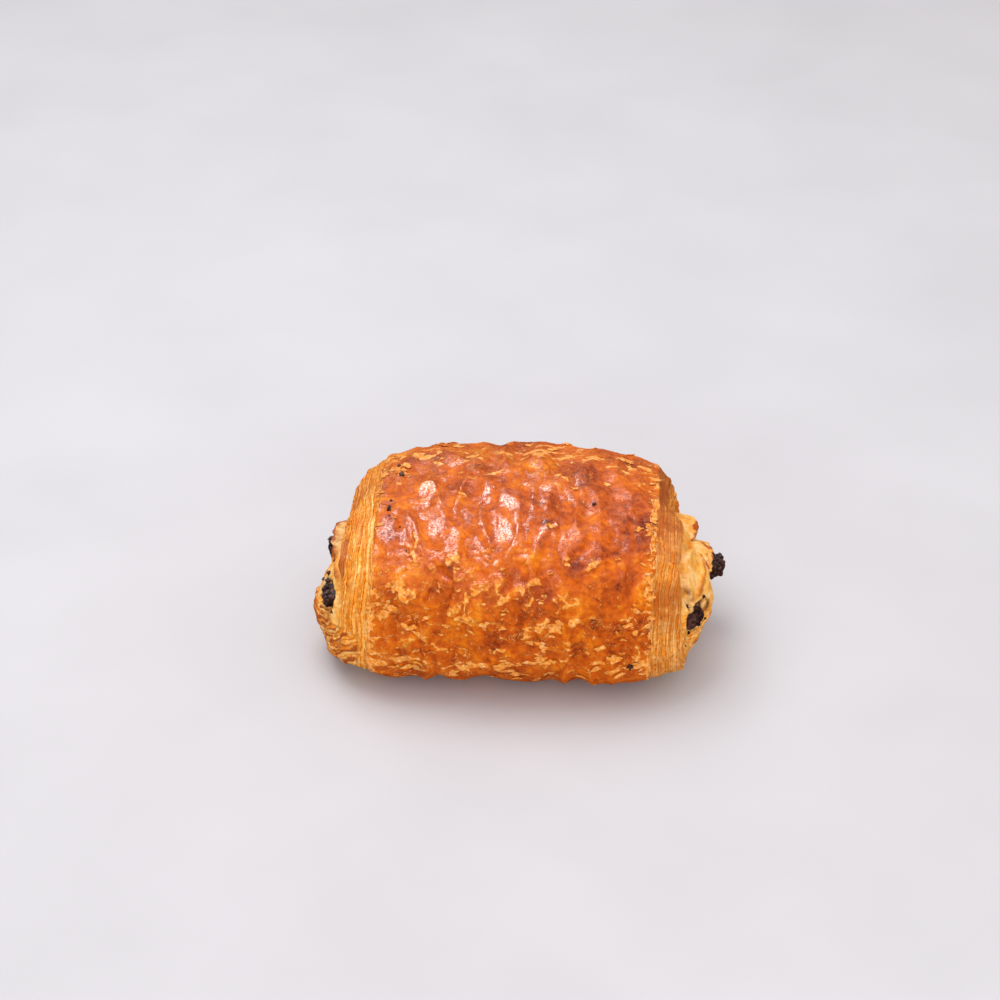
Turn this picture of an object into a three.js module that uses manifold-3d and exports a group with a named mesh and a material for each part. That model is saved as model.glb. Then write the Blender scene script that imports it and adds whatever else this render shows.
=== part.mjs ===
// A pain au chocolat: laminated dough rolled round two sticks of chocolate and baked until it is brown.
// The outer turn is a brown barrel whose cut ends show stepped leaves of dough. Inside it two smaller rolls
// stand proud of each end, and a chocolate stick runs through each of them from end to end.
// Millimetres, +Z up. The roll lies along X, its front faces -Y, and it rests on Z = 0.
// Angles go round the roll's axis in degrees: 0 is the back, 90 the top, 180 the front, 270 underneath.
import * as THREE from "three";
import { mergeVertices } from "three/addons/utils/BufferGeometryUtils.js";
import Module from "manifold-3d";

const wasm = await Module();
wasm.setup();

// Driving sizes of the outer turn, from the roll's axis.
const FRONT_REACH = 38.6;
const BACK_REACH = 37.0;
const TOP_RISE = 29.6;
const BASE_DROP = 22.8;
const AXIS_HEIGHT = 22.0; // above the table, which flattens the last of the drop
const TOP_SQUARENESS = 2.5; // of the section above the axis: 2 is an ellipse, more is boxier
const BASE_SQUARENESS = 3.3;
const CRUST_LENGTH = 40; // half of the crust, over which it narrows towards its ends
const CRUST_STEP = 0.9; // thickness of the browned skin at its edge
const ORIGIN = { x: 3.4, y: -0.7 }; // middle of the whole outline, where the frame's origin lies

// Narrowing of the crust towards its ends: over its length, more of it at the top, and just at the edge.
const NARROWING = 0.035;
const NARROWING_TOP = 0.06;
const NARROWING_EDGE = 0.035;

// Relief of the crust: broad swellings, and wrinkles that run mostly round the roll.
const SWELLING = { rise: 0.3, size: 36, seed: 1.3 };
const WRINKLE = { rise: 0.8, size: 17, seed: 2.1, along: 1.5, round: 0.6 };
const CROWNS = [
  { rise: 1.3, x: 9, length: 20, at: 62, width: 36 },
  { rise: -2.5, x: -41, length: 13, at: 68, width: 44 },
];

// The cut ends. A bump is [rise in mm, angle, width in degrees]. `edge` is the crust's distance from the
// middle, `reach` how far the outer turn's leaves stand out beyond it, `depth` how far in they go, and
// `foot` their flare where the roll rests. `rolls` are the two inner rolls, and `proud` is their height.
// `leaves` stand free: bent round `centre`, from `root` to `tip`, and the more `roundness`, the boxier.
const LEFT_END = {
  sign: -1,
  edge: { size: 37.0, bumps: [[-0.6, 130, 40], [0.9, 200, 40]] },
  reach: { size: 8.2, bumps: [[5.4, 214, 34]] },
  depth: { size: 10.5, bumps: [[3.5, 214, 34], [4.5, 80, 50]] },
  foot: { size: 0, bumps: [[2.8, 226, 24]] },
  rolls: [
    { y: 7.5, z: 19.0, ry: 17.0, rz: 12.0, proud: 10.0 },
    { y: -11.0, z: 17.0, ry: 25.0, rz: 27.0, proud: 17.2 },
  ],
  leaves: [
    {
      centre: [7.5, 19.0], radius: 10.2, from: 68, to: 232,
      root: 40, tip: 50.6, thickness: 1.8, lean: 0.3, roundness: 8,
    },
  ],
};
const RIGHT_END = {
  sign: 1,
  edge: { size: 41.0, bumps: [[0.6, 90, 40], [-0.5, 200, 40]] },
  reach: { size: 6.4, bumps: [[2.4, 190, 50]] },
  depth: { size: 10.5, bumps: [[2.5, 80, 50]] },
  foot: { size: 0, bumps: [[4.0, 214, 26]] },
  rolls: [
    { y: 8.0, z: 20.0, ry: 17.4, rz: 13.4, proud: 11.0 },
    { y: -12.5, z: 22.5, ry: 22.0, rz: 28.0, proud: 17.6 },
  ],
  leaves: [
    {
      centre: [7.0, 19.0], radius: 7.6, from: 55, to: 200,
      root: 45, tip: 57.2, thickness: 1.9, lean: -0.8, roundness: 5,
    },
    {
      centre: [-2.0, 17.0], radius: 12.8, from: 56, to: 150,
      root: 43, tip: 56.6, thickness: 1.8, lean: 0.8, roundness: 4,
    },
    {
      centre: [9.0, 22.5], radius: 11.8, from: 50, to: 140,
      root: 42, tip: 52.8, thickness: 3.2, lean: -1.2, roundness: 3,
    },
  ],
};
const LEAF_STEPS = 5; // bundles of leaves that show in the outer turn's cut edge
const TURN_RECESS = 5; // drop from the outer turn to the gap round the inner rolls
const DOUGH_BELOW = [[1, 275, 40]]; // where no such gap opens: the dough runs on into the rolls
const ROLL_SQUARENESS = 1.6; // of the inner rolls' domes
const ROLL_FULLNESS = 0.9;
const WINDING = { rise: 0.4, turns: 2.6 }; // grooves between the leaves wound up in an inner roll
const VALLEY_RADIUS = 0.8; // of the creases between the parts of an end
const RIM_FADE = 9; // depth over which an end forgets the wandering of the crust's edge

// The chocolate sticks, with the point where each comes out: [x, y, z] at the left end and the right end.
const STICKS = {
  chocolate_stick_back: { left: [-53.0, 7.5, 20.0], right: [61.2, 9.0, 19.0] },
  chocolate_stick_front: { left: [-51.6, -19.6, 22.8], right: [55.0, -21.5, 22.0] },
};
const STICK_WIDTH = 8.4;
const STICK_HEIGHT = 6.0;
const STICK_SAG = 2.2; // of a stick's middle below its ends
const STICK_ROUNDING = 2.2; // length over which its ends close
const STICK_LUMPS = { rise: 0.45, size: 5.5, seed: 3.3, length: 12 }; // melted ends
const STICK_GAP = 0.35; // clearance of the dough round a stick
const TUNNEL_OVERRUN = 0.04; // share of a stick's length that its tunnel runs on past each end

// Fineness of the faceted solid.
const AROUND = 60;
const CRUST_ROWS = 26;
const INNER_ROWS = 15;
const LEAF_COLUMNS = 12;
const LEAF_ROWS = 4;
const STICK_ROWS = 22;
const STICK_SIDES = 16;
const SHORTEST_EDGE = 0.02; // shorter ones are closed up after the pieces are joined

const TAU = Math.PI * 2;
const GOLDEN_ANGLE = 2.4;
const WAVE_COUNT = 7;
const radians = THREE.MathUtils.degToRad;
const clamp = THREE.MathUtils.clamp;

function smooth(t) {
  const s = clamp(t, 0, 1);
  return s * s * (3 - 2 * s);
}

// 1 at the angle `centre` round the section, falling off over `width`, both in degrees.
function bell(angle, centre, width) {
  const d = THREE.MathUtils.euclideanModulo(angle - radians(centre) + Math.PI, TAU) - Math.PI;
  return Math.exp(-((d / radians(width)) ** 2));
}

function withBumps({ size, bumps }, angle) {
  return bumps.reduce((sum, [rise, at, width]) => sum + rise * bell(angle, at, width), size);
}

// Uneven waves about `size` long, between -1.5 and 1.5: a sum of sines in directions spread over a ball.
function waves(x, y, z, size, seed) {
  let sum = 0;
  for (let i = 0; i < WAVE_COUNT; i++) {
    const up = 1 - (2 * i + 1) / WAVE_COUNT;
    const flat = Math.sqrt(1 - up * up);
    const turn = GOLDEN_ANGLE * i + seed;
    const way = x * flat * Math.cos(turn) + y * flat * Math.sin(turn) + z * up;
    const pitch = 0.8 + 0.08 * i;
    sum += Math.sin(((TAU * pitch) / size) * way + 1.7 * seed * (i + 1));
  }
  return sum / Math.sqrt(WAVE_COUNT / 2);
}

// Radius of the barrel's section before it narrows.
function sectionRadius(angle) {
  const c = Math.cos(angle);
  const s = Math.sin(angle);
  const reach = c < 0 ? FRONT_REACH : BACK_REACH;
  const rise = s > 0 ? TOP_RISE : BASE_DROP;
  const n = s > 0 ? TOP_SQUARENESS : BASE_SQUARENESS;
  return (Math.abs(c / reach) ** n + Math.abs(s / rise) ** n) ** (-1 / n);
}

function narrowing(x, angle) {
  const t = Math.min(1, Math.abs(x) / CRUST_LENGTH);
  const up = smooth((Math.sin(angle) + 0.6) / 1.4);
  return 1 - (NARROWING + NARROWING_TOP * up) * t ** 2.2 - NARROWING_EDGE * t ** 9;
}

// Swellings and wrinkles of the crust, kept off its edges and its flat underside.
function crustRelief(x, angle) {
  const r = sectionRadius(angle);
  const y = r * Math.cos(angle);
  const z = r * Math.sin(angle);
  const { along, round } = WRINKLE;
  const swelling = SWELLING.rise * waves(x, y, z, SWELLING.size, SWELLING.seed);
  const folds = Math.abs(waves(along * x, round * y, round * z, WRINKLE.size, WRINKLE.seed));
  const wrinkle = WRINKLE.rise * (0.5 - folds);
  const inside = smooth((1 - Math.abs(x) / CRUST_LENGTH) / 0.2);
  const above = smooth((Math.sin(angle) + 0.9) / 0.5);
  const crown = CROWNS.reduce((sum, bump) => {
    const lengthwise = Math.exp(-(((x - bump.x) / bump.length) ** 2));
    return sum + bump.rise * lengthwise * bell(angle, bump.at, bump.width);
  }, 0);
  return (swelling + wrinkle) * inside * above + crown;
}

function crustRadius(x, angle) {
  return sectionRadius(angle) * narrowing(x, angle) + crustRelief(x, angle);
}

// A point at a distance `radius` from the roll's axis, no lower than the table.
function pointAbout(x, radius, angle) {
  const z = AXIS_HEIGHT + radius * Math.sin(angle);
  return new THREE.Vector3(x, radius * Math.cos(angle), Math.max(0, z));
}

// A point of the crust: `along` runs from -1 at its left edge to 1 at its right edge.
function crustPoint(along, angle) {
  const end = along < 0 ? LEFT_END : RIGHT_END;
  const x = along * withBumps(end.edge, angle);
  return pointAbout(x, crustRadius(x, angle), angle);
}

// How far the outer turn's cut edge stands out at a depth below the crust, in steps of bundled leaves.
function turnReach(end, depth, angle) {
  const width = withBumps(end.depth, angle);
  const step = width / LEAF_STEPS;
  const whole = Math.floor(depth / step);
  const stepped = step * (whole + smooth((depth / step - whole) * 2));
  const t = clamp(stepped / width, 0, 1);
  const rounded = withBumps(end.reach, angle) * (1 - (1 - t) ** 1.5) ** 0.8;
  const flare = withBumps(end.foot, angle) * Math.sin(Math.PI * Math.sqrt(t));
  const gap = 1 - withBumps({ size: 0, bumps: DOUGH_BELOW }, angle);
  return rounded + flare - TURN_RECESS * gap * smooth((depth - width + 1) / 3);
}

// How far an inner roll stands out at a point of the end: a dome of wound leaves.
function rollReach(roll, y, z) {
  const q = Math.hypot((y - roll.y) / roll.ry, (z - roll.z) / roll.rz);
  if (q >= 1) return roll.proud * (1 - q) * 2;
  const turn = WINDING.turns * q + Math.atan2(z - roll.z, y - roll.y) / TAU;
  const winding = WINDING.rise * Math.cos(TAU * turn) * smooth(q * 3) * smooth((1 - q) * 4);
  return roll.proud * (1 - q ** ROLL_SQUARENESS) ** ROLL_FULLNESS + winding;
}

// The larger of several heights, with the valleys between them rounded.
function softMax(heights) {
  const top = Math.max(...heights);
  const sum = heights.reduce((total, height) => total + Math.exp((height - top) / VALLEY_RADIUS), 0);
  return top + VALLEY_RADIUS * Math.log(sum);
}

// A point of an end: `share` runs from 1 at the rim of the crust to 0 on the axis.
function endPoint(end, share, angle) {
  const edge = withBumps(end.edge, angle);
  const rim = crustRadius(end.sign * edge, angle) - CRUST_STEP;
  const radius = share * rim;
  const depth = rim - radius;
  const y = radius * Math.cos(angle);
  const z = radius * Math.sin(angle) + AXIS_HEIGHT;
  const reach = softMax([turnReach(end, depth, angle), ...end.rolls.map((roll) => rollReach(roll, y, z))]);
  const wander = (edge - end.edge.size) * (1 - smooth(depth / RIM_FADE));
  return pointAbout(end.sign * (end.edge.size + reach + wander), radius, angle);
}

// Closes a stack of rings, from the point before the first to the point after the last, into one mesh.
function skinRings(first, rings, last) {
  const around = rings[0].length;
  const points = [first, ...rings.flat(), last];
  const index = [];
  const at = (row, k) => 1 + row * around + (k % around);
  for (let k = 0; k < around; k++) {
    index.push(0, at(0, k + 1), at(0, k));
    index.push(points.length - 1, at(rings.length - 1, k), at(rings.length - 1, k + 1));
    for (let row = 0; row + 1 < rings.length; row++) {
      index.push(at(row, k), at(row + 1, k + 1), at(row + 1, k));
      index.push(at(row, k), at(row, k + 1), at(row + 1, k + 1));
    }
  }
  return new THREE.BufferGeometry().setFromPoints(points).setIndex(index);
}

// Shares of the rim's radius at which an end has its rings: two for each step of leaves, then even ones.
function endShares() {
  const turnShare = LEFT_END.depth.size / BACK_REACH;
  const shares = [];
  for (let half = 0; half < 2 * LEAF_STEPS; half++) {
    shares.push(1 - (turnShare * half) / (2 * LEAF_STEPS));
  }
  for (let row = 0; row < INNER_ROWS; row++) {
    shares.push((1 - turnShare) * (1 - row / INNER_ROWS));
  }
  return shares;
}

function doughBody() {
  const angles = Array.from({ length: AROUND }, (_, k) => (TAU * k) / AROUND);
  const ringsOf = (end) => endShares().map((share) => angles.map((angle) => endPoint(end, share, angle)));
  const crust = [];
  for (let row = 0; row <= CRUST_ROWS; row++) {
    const along = Math.sin(((row / CRUST_ROWS) * 2 - 1) * 1.3) / Math.sin(1.3);
    crust.push(angles.map((angle) => crustPoint(along, angle)));
  }
  const rings = [...ringsOf(LEFT_END).reverse(), ...crust, ...ringsOf(RIGHT_END)];
  return skinRings(endPoint(LEFT_END, 0, 0), rings, endPoint(RIGHT_END, 0, 0));
}

// A leaf of dough that stands out of an end: part of a ring round `centre`, thinner at its free edge.
function standingLeaf(sign, { centre, radius, from, to, root, tip, thickness, lean, roundness }) {
  const leaf = new THREE.BoxGeometry(1, 1, 1, LEAF_COLUMNS, LEAF_ROWS, 1);
  const corner = leaf.getAttribute("position");
  for (let i = 0; i < corner.count; i++) {
    // Counted from the other end on the left side, so that the leaf's faces still look outwards.
    const along = 0.5 + sign * corner.getX(i);
    const out = corner.getY(i) + 0.5;
    const angle = radians(from + (to - from) * along);
    const rounding = (1 - 0.98 * Math.abs(2 * along - 1) ** roundness) ** 0.6;
    const frill = 0.4 * Math.sin(9 * along + radius) * out;
    const wall = corner.getZ(i) * thickness * (1 - 0.55 * out);
    const r = radius + wall + lean * out * out + frill;
    const x = root + (tip - root) * out * rounding;
    corner.setXYZ(i, sign * x, centre[0] + r * Math.cos(angle), centre[1] + r * Math.sin(angle));
  }
  return leaf;
}

// One ring of a stick: a bar with softened corners, lumpy where it has melted near its ends.
function stickRing(middle, toEnd, closing, grow) {
  const lumpy = STICK_LUMPS.rise * smooth(1 - toEnd / STICK_LUMPS.length);
  return Array.from({ length: STICK_SIDES }, (_, k) => {
    const angle = (TAU * k) / STICK_SIDES;
    const c = Math.cos(angle);
    const s = Math.sin(angle);
    const bar = (Math.abs((2 * c) / STICK_WIDTH) ** 4 + Math.abs((2 * s) / STICK_HEIGHT) ** 4) ** -0.25;
    const lump = lumpy * waves(middle.x, 4 * c + middle.y, 4 * s, STICK_LUMPS.size, STICK_LUMPS.seed);
    const r = (bar + lump) * closing + grow;
    return new THREE.Vector3(middle.x, middle.y + r * c, middle.z + r * s);
  });
}

// A stick of chocolate. Grown by `grow` and run on past both ends by the share `overrun` of its length,
// the same shape is the tunnel that the stick lies in.
function stickShape({ left, right }, grow, overrun) {
  const start = new THREE.Vector3(...left);
  const end = new THREE.Vector3(...right);
  const stations = Array.from({ length: STICK_ROWS + 1 }, (_, row) => {
    return (1 - Math.cos((Math.PI * row) / STICK_ROWS)) / 2;
  });
  if (overrun > 0) stations.splice(0, stations.length, -overrun, ...stations, 1 + overrun);
  const rings = stations.map((along) => {
    const middle = start.clone().lerp(end, along);
    middle.z -= STICK_SAG * Math.sin(Math.PI * clamp(along, 0, 1));
    const toEnd = Math.max(0, Math.min(along, 1 - along)) * start.distanceTo(end);
    const closing = overrun > 0 ? 1 : Math.sqrt(clamp(toEnd / STICK_ROUNDING, 0.12, 1));
    return stickRing(middle, toEnd, closing, grow);
  });
  const nose = new THREE.Vector3(0.4, 0, 0);
  const first = start.clone().lerp(end, -overrun).sub(nose);
  const last = start.clone().lerp(end, 1 + overrun).add(nose);
  return skinRings(first, rings, last);
}

function solid(geometry) {
  const bare = geometry.clone();
  bare.deleteAttribute("normal");
  bare.deleteAttribute("uv");
  const merged = mergeVertices(bare, 1e-4);
  return new wasm.Manifold(
    new wasm.Mesh({
      numProp: 3,
      vertProperties: merged.getAttribute("position").array,
      triVerts: new Uint32Array(merged.getIndex().array),
    }),
  );
}

function geometryOf(body) {
  const mesh = body.getMesh();
  const geometry = new THREE.BufferGeometry();
  geometry.setAttribute("position", new THREE.BufferAttribute(mesh.vertProperties, 3));
  geometry.setIndex(new THREE.BufferAttribute(mesh.triVerts, 1));
  geometry.computeVertexNormals();
  return geometry;
}

// The dough with its standing leaves, open where the sticks run through it.
function doughGeometry() {
  let dough = solid(doughBody());
  for (const end of [LEFT_END, RIGHT_END]) {
    for (const leaf of end.leaves) dough = dough.add(solid(standingLeaf(end.sign, leaf)));
  }
  for (const stick of Object.values(STICKS)) {
    dough = dough.subtract(solid(stickShape(stick, STICK_GAP, TUNNEL_OVERRUN)));
  }
  return geometryOf(dough.asOriginal().simplify(SHORTEST_EDGE));
}

const bakedDough = new THREE.MeshStandardMaterial({ color: 0xc8661c, roughness: 0.42, metalness: 0 });
const chocolate = new THREE.MeshStandardMaterial({ color: 0x2a1714, roughness: 0.55, metalness: 0 });

const painAuChocolat = new THREE.Group();
painAuChocolat.position.set(-ORIGIN.x, -ORIGIN.y, 0);

const pastry = new THREE.Mesh(doughGeometry(), bakedDough);
pastry.name = "rolled_pastry";
painAuChocolat.add(pastry);

for (const [name, stick] of Object.entries(STICKS)) {
  const bar = new THREE.Mesh(stickShape(stick, 0, 0), chocolate);
  bar.name = name;
  painAuChocolat.add(bar);
}

export default painAuChocolat;
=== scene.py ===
# %% [markdown]
# A pain au chocolat, dressed over its frame
#
# The real thing is one sheet of laminated dough, rolled round two sticks of chocolate, brushed with egg and
# baked. The frame holds its true form as plain solids: the dough and the two sticks. This lesson builds
# what the oven does to them: the glazed crust, the leaves of the cut ends, loose flakes, and rough
# chocolate.

# %% The frame
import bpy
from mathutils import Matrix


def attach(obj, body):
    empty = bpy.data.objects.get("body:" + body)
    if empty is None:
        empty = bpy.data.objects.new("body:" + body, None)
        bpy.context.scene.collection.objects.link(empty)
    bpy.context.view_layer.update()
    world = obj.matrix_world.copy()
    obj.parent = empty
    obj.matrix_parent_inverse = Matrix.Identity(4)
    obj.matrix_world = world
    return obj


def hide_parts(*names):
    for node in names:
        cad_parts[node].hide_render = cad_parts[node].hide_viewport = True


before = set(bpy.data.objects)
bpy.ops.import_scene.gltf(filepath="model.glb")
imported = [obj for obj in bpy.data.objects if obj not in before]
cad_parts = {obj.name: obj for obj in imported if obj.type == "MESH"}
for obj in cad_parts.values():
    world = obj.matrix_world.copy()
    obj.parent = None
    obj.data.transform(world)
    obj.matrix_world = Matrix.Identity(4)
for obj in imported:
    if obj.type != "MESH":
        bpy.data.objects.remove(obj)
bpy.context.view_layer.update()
print("nodes:", sorted(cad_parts))

# %% [markdown]
# Units and small tools
#
# The frame is in metres, but a baker thinks in millimetres, so shapes are worked out in millimetres about
# the middle of the roll and turned into metres once, when a piece is made. Angles go round the roll: 0 is
# the back, 90 the top, 180 the front and 270 underneath.

# %% Units
import math
from functools import cache
from itertools import product

import bmesh
import bpy
import numpy as np

MM = 0.001
TAU = math.tau
TO_FRAME = np.array((-3.4, 0.7, 0.0))  # from the middle of the roll to the frame's origin


def smooth(share):
    """An easy slope from 0 to 1."""
    share = np.clip(share, 0, 1)
    return share * share * (3 - 2 * share)


def bell(angle, centre, width):
    """1 at the angle `centre`, falling off over `width`, both in degrees."""
    off = (angle - np.radians(centre) + np.pi) % TAU - np.pi
    return np.exp(-((off / np.radians(width)) ** 2))


def with_bumps(bumpy, angle):
    """A size that changes round the roll, by bumps of (rise, angle, width)."""
    return bumpy["size"] + sum(rise * bell(angle, at, width) for rise, at, width in bumpy["bumps"])


def hill(value, centre, width):
    """1 where `value` is at `centre`, falling off over `width`."""
    return np.exp(-(((value - centre) / width) ** 2))


def between(value, start, rise, end, fall):
    """1 between two places, with an easy slope over `rise` after the first and `fall` before the other."""
    return smooth((value - start) / rise) * smooth((end - value) / fall)


def joined(*parts):
    """One array of points from one array for each coordinate."""
    return np.stack(np.broadcast_arrays(*parts), axis=-1)


# %% [markdown]
# Natural unevenness
#
# Dough never repeats itself. Two kinds of unevenness shape it here: a sum of sine waves, which is the same
# one that shapes the frame's solid, and a lattice of random slopes, which gives finer and less regular
# detail. Every lattice has its own seed, so that the lesson bakes the same pastry each time.

# %% Unevenness
WAVE_COUNT = 7
GOLDEN_ANGLE = 2.4


def waves(x, y, z, size, seed):
    """Uneven waves about `size` mm long: sines in directions spread over a ball."""
    total = 0
    for i in range(WAVE_COUNT):
        up = 1 - (2 * i + 1) / WAVE_COUNT
        flat = math.sqrt(1 - up * up)
        turn = GOLDEN_ANGLE * i + seed
        way = x * flat * math.cos(turn) + y * flat * math.sin(turn) + z * up
        pitch = 0.8 + 0.08 * i
        total = total + np.sin(TAU * pitch / size * way + 1.7 * seed * (i + 1))
    return total / math.sqrt(WAVE_COUNT / 2)


LATTICE = 32  # cells each way before the noise repeats


@cache
def lattice(seed):
    """Random directions at the corners of a block of cells."""
    slopes = np.random.default_rng(seed).normal(size=(LATTICE, LATTICE, LATTICE, 3))
    return slopes / np.linalg.norm(slopes, axis=-1, keepdims=True)


def noise(points, size, seed):
    """Smooth random heights, about -1 to 1, in blobs about `size` mm wide."""
    slopes = lattice(seed)
    scaled = points / size
    cell = np.floor(scaled).astype(int)
    part = scaled - cell
    ease = part**3 * (part * (part * 6 - 15) + 10)
    total = np.zeros(points.shape[:-1])
    for corner in product((0, 1), repeat=3):
        weight = np.prod(np.where(corner, ease, 1 - ease), axis=-1)
        i, j, k = np.moveaxis((cell + corner) % LATTICE, -1, 0)
        total += weight * np.sum(slopes[i, j, k] * (part - corner), axis=-1)
    return 1.6 * total


def cloud(points, size, seed, octaves=3):
    """Noise with finer noise on it, each octave half as wide and half as high."""
    return sum(noise(points, size / 2**i, seed + i) / 2**i for i in range(octaves))


# %% [markdown]
# The roll's section
#
# Seen from an end, the roll is a soft box: flat underneath, round over the top. It narrows towards its cut
# ends. These are the driving sizes of the frame's own solid, so that the skin lies on it.

# %% Section of the roll
FRONT_REACH = 38.6
BACK_REACH = 37.0
TOP_RISE = 29.6
BASE_DROP = 22.8
AXIS_HEIGHT = 22.0
TOP_SQUARENESS = 2.5  # 2 is an ellipse, more is boxier
BASE_SQUARENESS = 3.3
CRUST_LENGTH = 40  # half of the roll, over which it narrows
NARROWING = 0.035
NARROWING_TOP = 0.06
NARROWING_EDGE = 0.035
SKIN = 0.5  # thickness of the browned skin at its edge


def section_radius(angle):
    """Distance from the roll's axis to its skin, before it narrows."""
    c = np.cos(angle)
    s = np.sin(angle)
    reach = np.where(c < 0, FRONT_REACH, BACK_REACH)
    rise = np.where(s > 0, TOP_RISE, BASE_DROP)
    n = np.where(s > 0, TOP_SQUARENESS, BASE_SQUARENESS)
    return (np.abs(c / reach) ** n + np.abs(s / rise) ** n) ** (-1 / n)


def narrowing(x, angle):
    t = np.minimum(1, np.abs(x) / CRUST_LENGTH)
    up = smooth((np.sin(angle) + 0.6) / 1.4)
    return 1 - (NARROWING + NARROWING_TOP * up) * t**2.2 - NARROWING_EDGE * t**9


SWELLING = {"rise": 0.3, "size": 36, "seed": 1.3}
WRINKLE = {"rise": 0.8, "size": 17, "seed": 2.1, "along": 1.5, "round": 0.6}
CROWNS = [
    {"rise": 1.3, "x": 9, "length": 20, "at": 62, "width": 36},
    {"rise": -2.5, "x": -41, "length": 13, "at": 68, "width": 44},
]


def crust_relief(x, angle):
    """The solid's own swellings, wrinkles and crowns."""
    r = section_radius(angle)
    y = r * np.cos(angle)
    z = r * np.sin(angle)
    swelling = SWELLING["rise"] * waves(x, y, z, SWELLING["size"], SWELLING["seed"])
    folded = (WRINKLE["along"] * x, WRINKLE["round"] * y, WRINKLE["round"] * z)
    wrinkle = WRINKLE["rise"] * (0.5 - np.abs(waves(*folded, WRINKLE["size"], WRINKLE["seed"])))
    inside = smooth((1 - np.abs(x) / CRUST_LENGTH) / 0.2)
    above = smooth((np.sin(angle) + 0.9) / 0.5)
    crown = 0
    for bump in CROWNS:
        lengthwise = hill(x, bump["x"], bump["length"])
        crown = crown + bump["rise"] * lengthwise * bell(angle, bump["at"], bump["width"])
    return (swelling + wrinkle) * inside * above + crown


def crust_radius(x, angle):
    return section_radius(angle) * narrowing(x, angle) + crust_relief(x, angle)


def about_axis(x, radius, angle):
    """Points at a distance `radius` from the roll's axis, no lower than the table."""
    z = np.maximum(0, AXIS_HEIGHT + radius * np.sin(angle))
    return joined(x, radius * np.cos(angle), z)


# %% [markdown]
# Arc length round the roll
#
# Flakes and wrinkles have a size in millimetres along the skin, so they are laid out on the unrolled crust.
# Its two coordinates are x along the roll and the arc from the top, which grows towards the front.

# %% Unrolled crust
arc_angles = np.radians(np.linspace(-90, 270, 8 * 360 + 1))
outline = about_axis(0, section_radius(arc_angles), arc_angles)
outline_steps = np.linalg.norm(np.diff(outline, axis=0), axis=1)
arc_lengths = np.concatenate([[0], np.cumsum(outline_steps)])
arc_lengths -= np.interp(math.pi / 2, arc_angles, arc_lengths)


def arc_of(angle):
    return np.interp(angle, arc_angles, arc_lengths)


def angle_of(arc):
    return np.interp(arc, arc_lengths, arc_angles)


print(f"round the roll: {np.ptp(arc_lengths):.0f} mm, front at {arc_of(math.pi):.0f} mm from the top")

# %% [markdown]
# From a grid to a piece
#
# A baked surface is easiest to shape as a grid of points, moved one by one. The grid comes from bmesh,
# every point is moved to its place, and where the grid closes on itself the doubled points are welded, so
# that the piece has no seam. Values such as how brown each point is go with the points, for the materials
# to read.

# %% Grid pieces
WELD = 2e-6  # metres
counts = {}


def surface_normals(points):
    """The direction that each point of a grid faces."""
    along = np.gradient(points, axis=0)
    across = np.gradient(points, axis=1)
    facing = np.cross(across, along)
    return facing / np.maximum(np.linalg.norm(facing, axis=-1, keepdims=True), 1e-9)


def store(mesh, values, shape):
    """Gives every point of a mesh its values."""
    for key, value in values.items():
        spread = np.broadcast_to(value, shape).astype(np.float32).ravel()
        mesh.attributes.new(key, "FLOAT", "POINT").data.foreach_set("value", spread)


def finish_piece(name, mesh, finish, slot, nodes):
    """Puts a finished mesh on the body, in place of the solids in `nodes`."""
    piece = bpy.data.objects.new(name, mesh)
    bpy.context.scene.collection.objects.link(piece)
    mesh.materials.append(finish)
    mesh.shade_smooth()
    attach(piece, "root")
    if nodes:
        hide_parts(*nodes)
    counts[name] = sum(len(face.vertices) - 2 for face in mesh.polygons)
    print(f"{name}: {counts[name]} triangles")


def grid_piece(name, points, values, finish, slot="baked_dough", nodes=("rolled_pastry",)):
    """A closed piece from a grid of points: (rows, columns, xyz) in mm."""
    rows, columns = points.shape[:2]
    bm = bmesh.new()
    bmesh.ops.create_grid(bm, x_segments=columns - 1, y_segments=rows - 1, size=0.5)
    mesh = bpy.data.meshes.new(name)
    bm.to_mesh(mesh)
    placed = (points + TO_FRAME) * MM
    mesh.vertices.foreach_set("co", placed.astype(np.float32).ravel())
    store(mesh, values, (rows, columns))
    bm.clear()
    bm.from_mesh(mesh)
    bmesh.ops.remove_doubles(bm, verts=bm.verts, dist=WELD)
    bmesh.ops.recalc_face_normals(bm, faces=bm.faces)
    bm.to_mesh(mesh)
    bm.free()
    finish_piece(name, mesh, finish, slot, nodes)


# %% [markdown]
# Mixing finishes
#
# A material is a small recipe of nodes. The helpers below add one node at a time and hand back its output,
# so that a recipe reads like a list of steps. Patterns are measured in millimetres on the object's own
# coordinates.

# %% Node helpers
def paint(code):
    """A colour as it looks, such as #C8641E, in the linear values that a shader needs."""
    levels = [int(code[i : i + 2], 16) / 255 for i in (1, 3, 5)]
    return [v / 12.92 if v <= 0.04045 else ((v + 0.055) / 1.055) ** 2.4 for v in levels] + [1.0]


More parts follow.
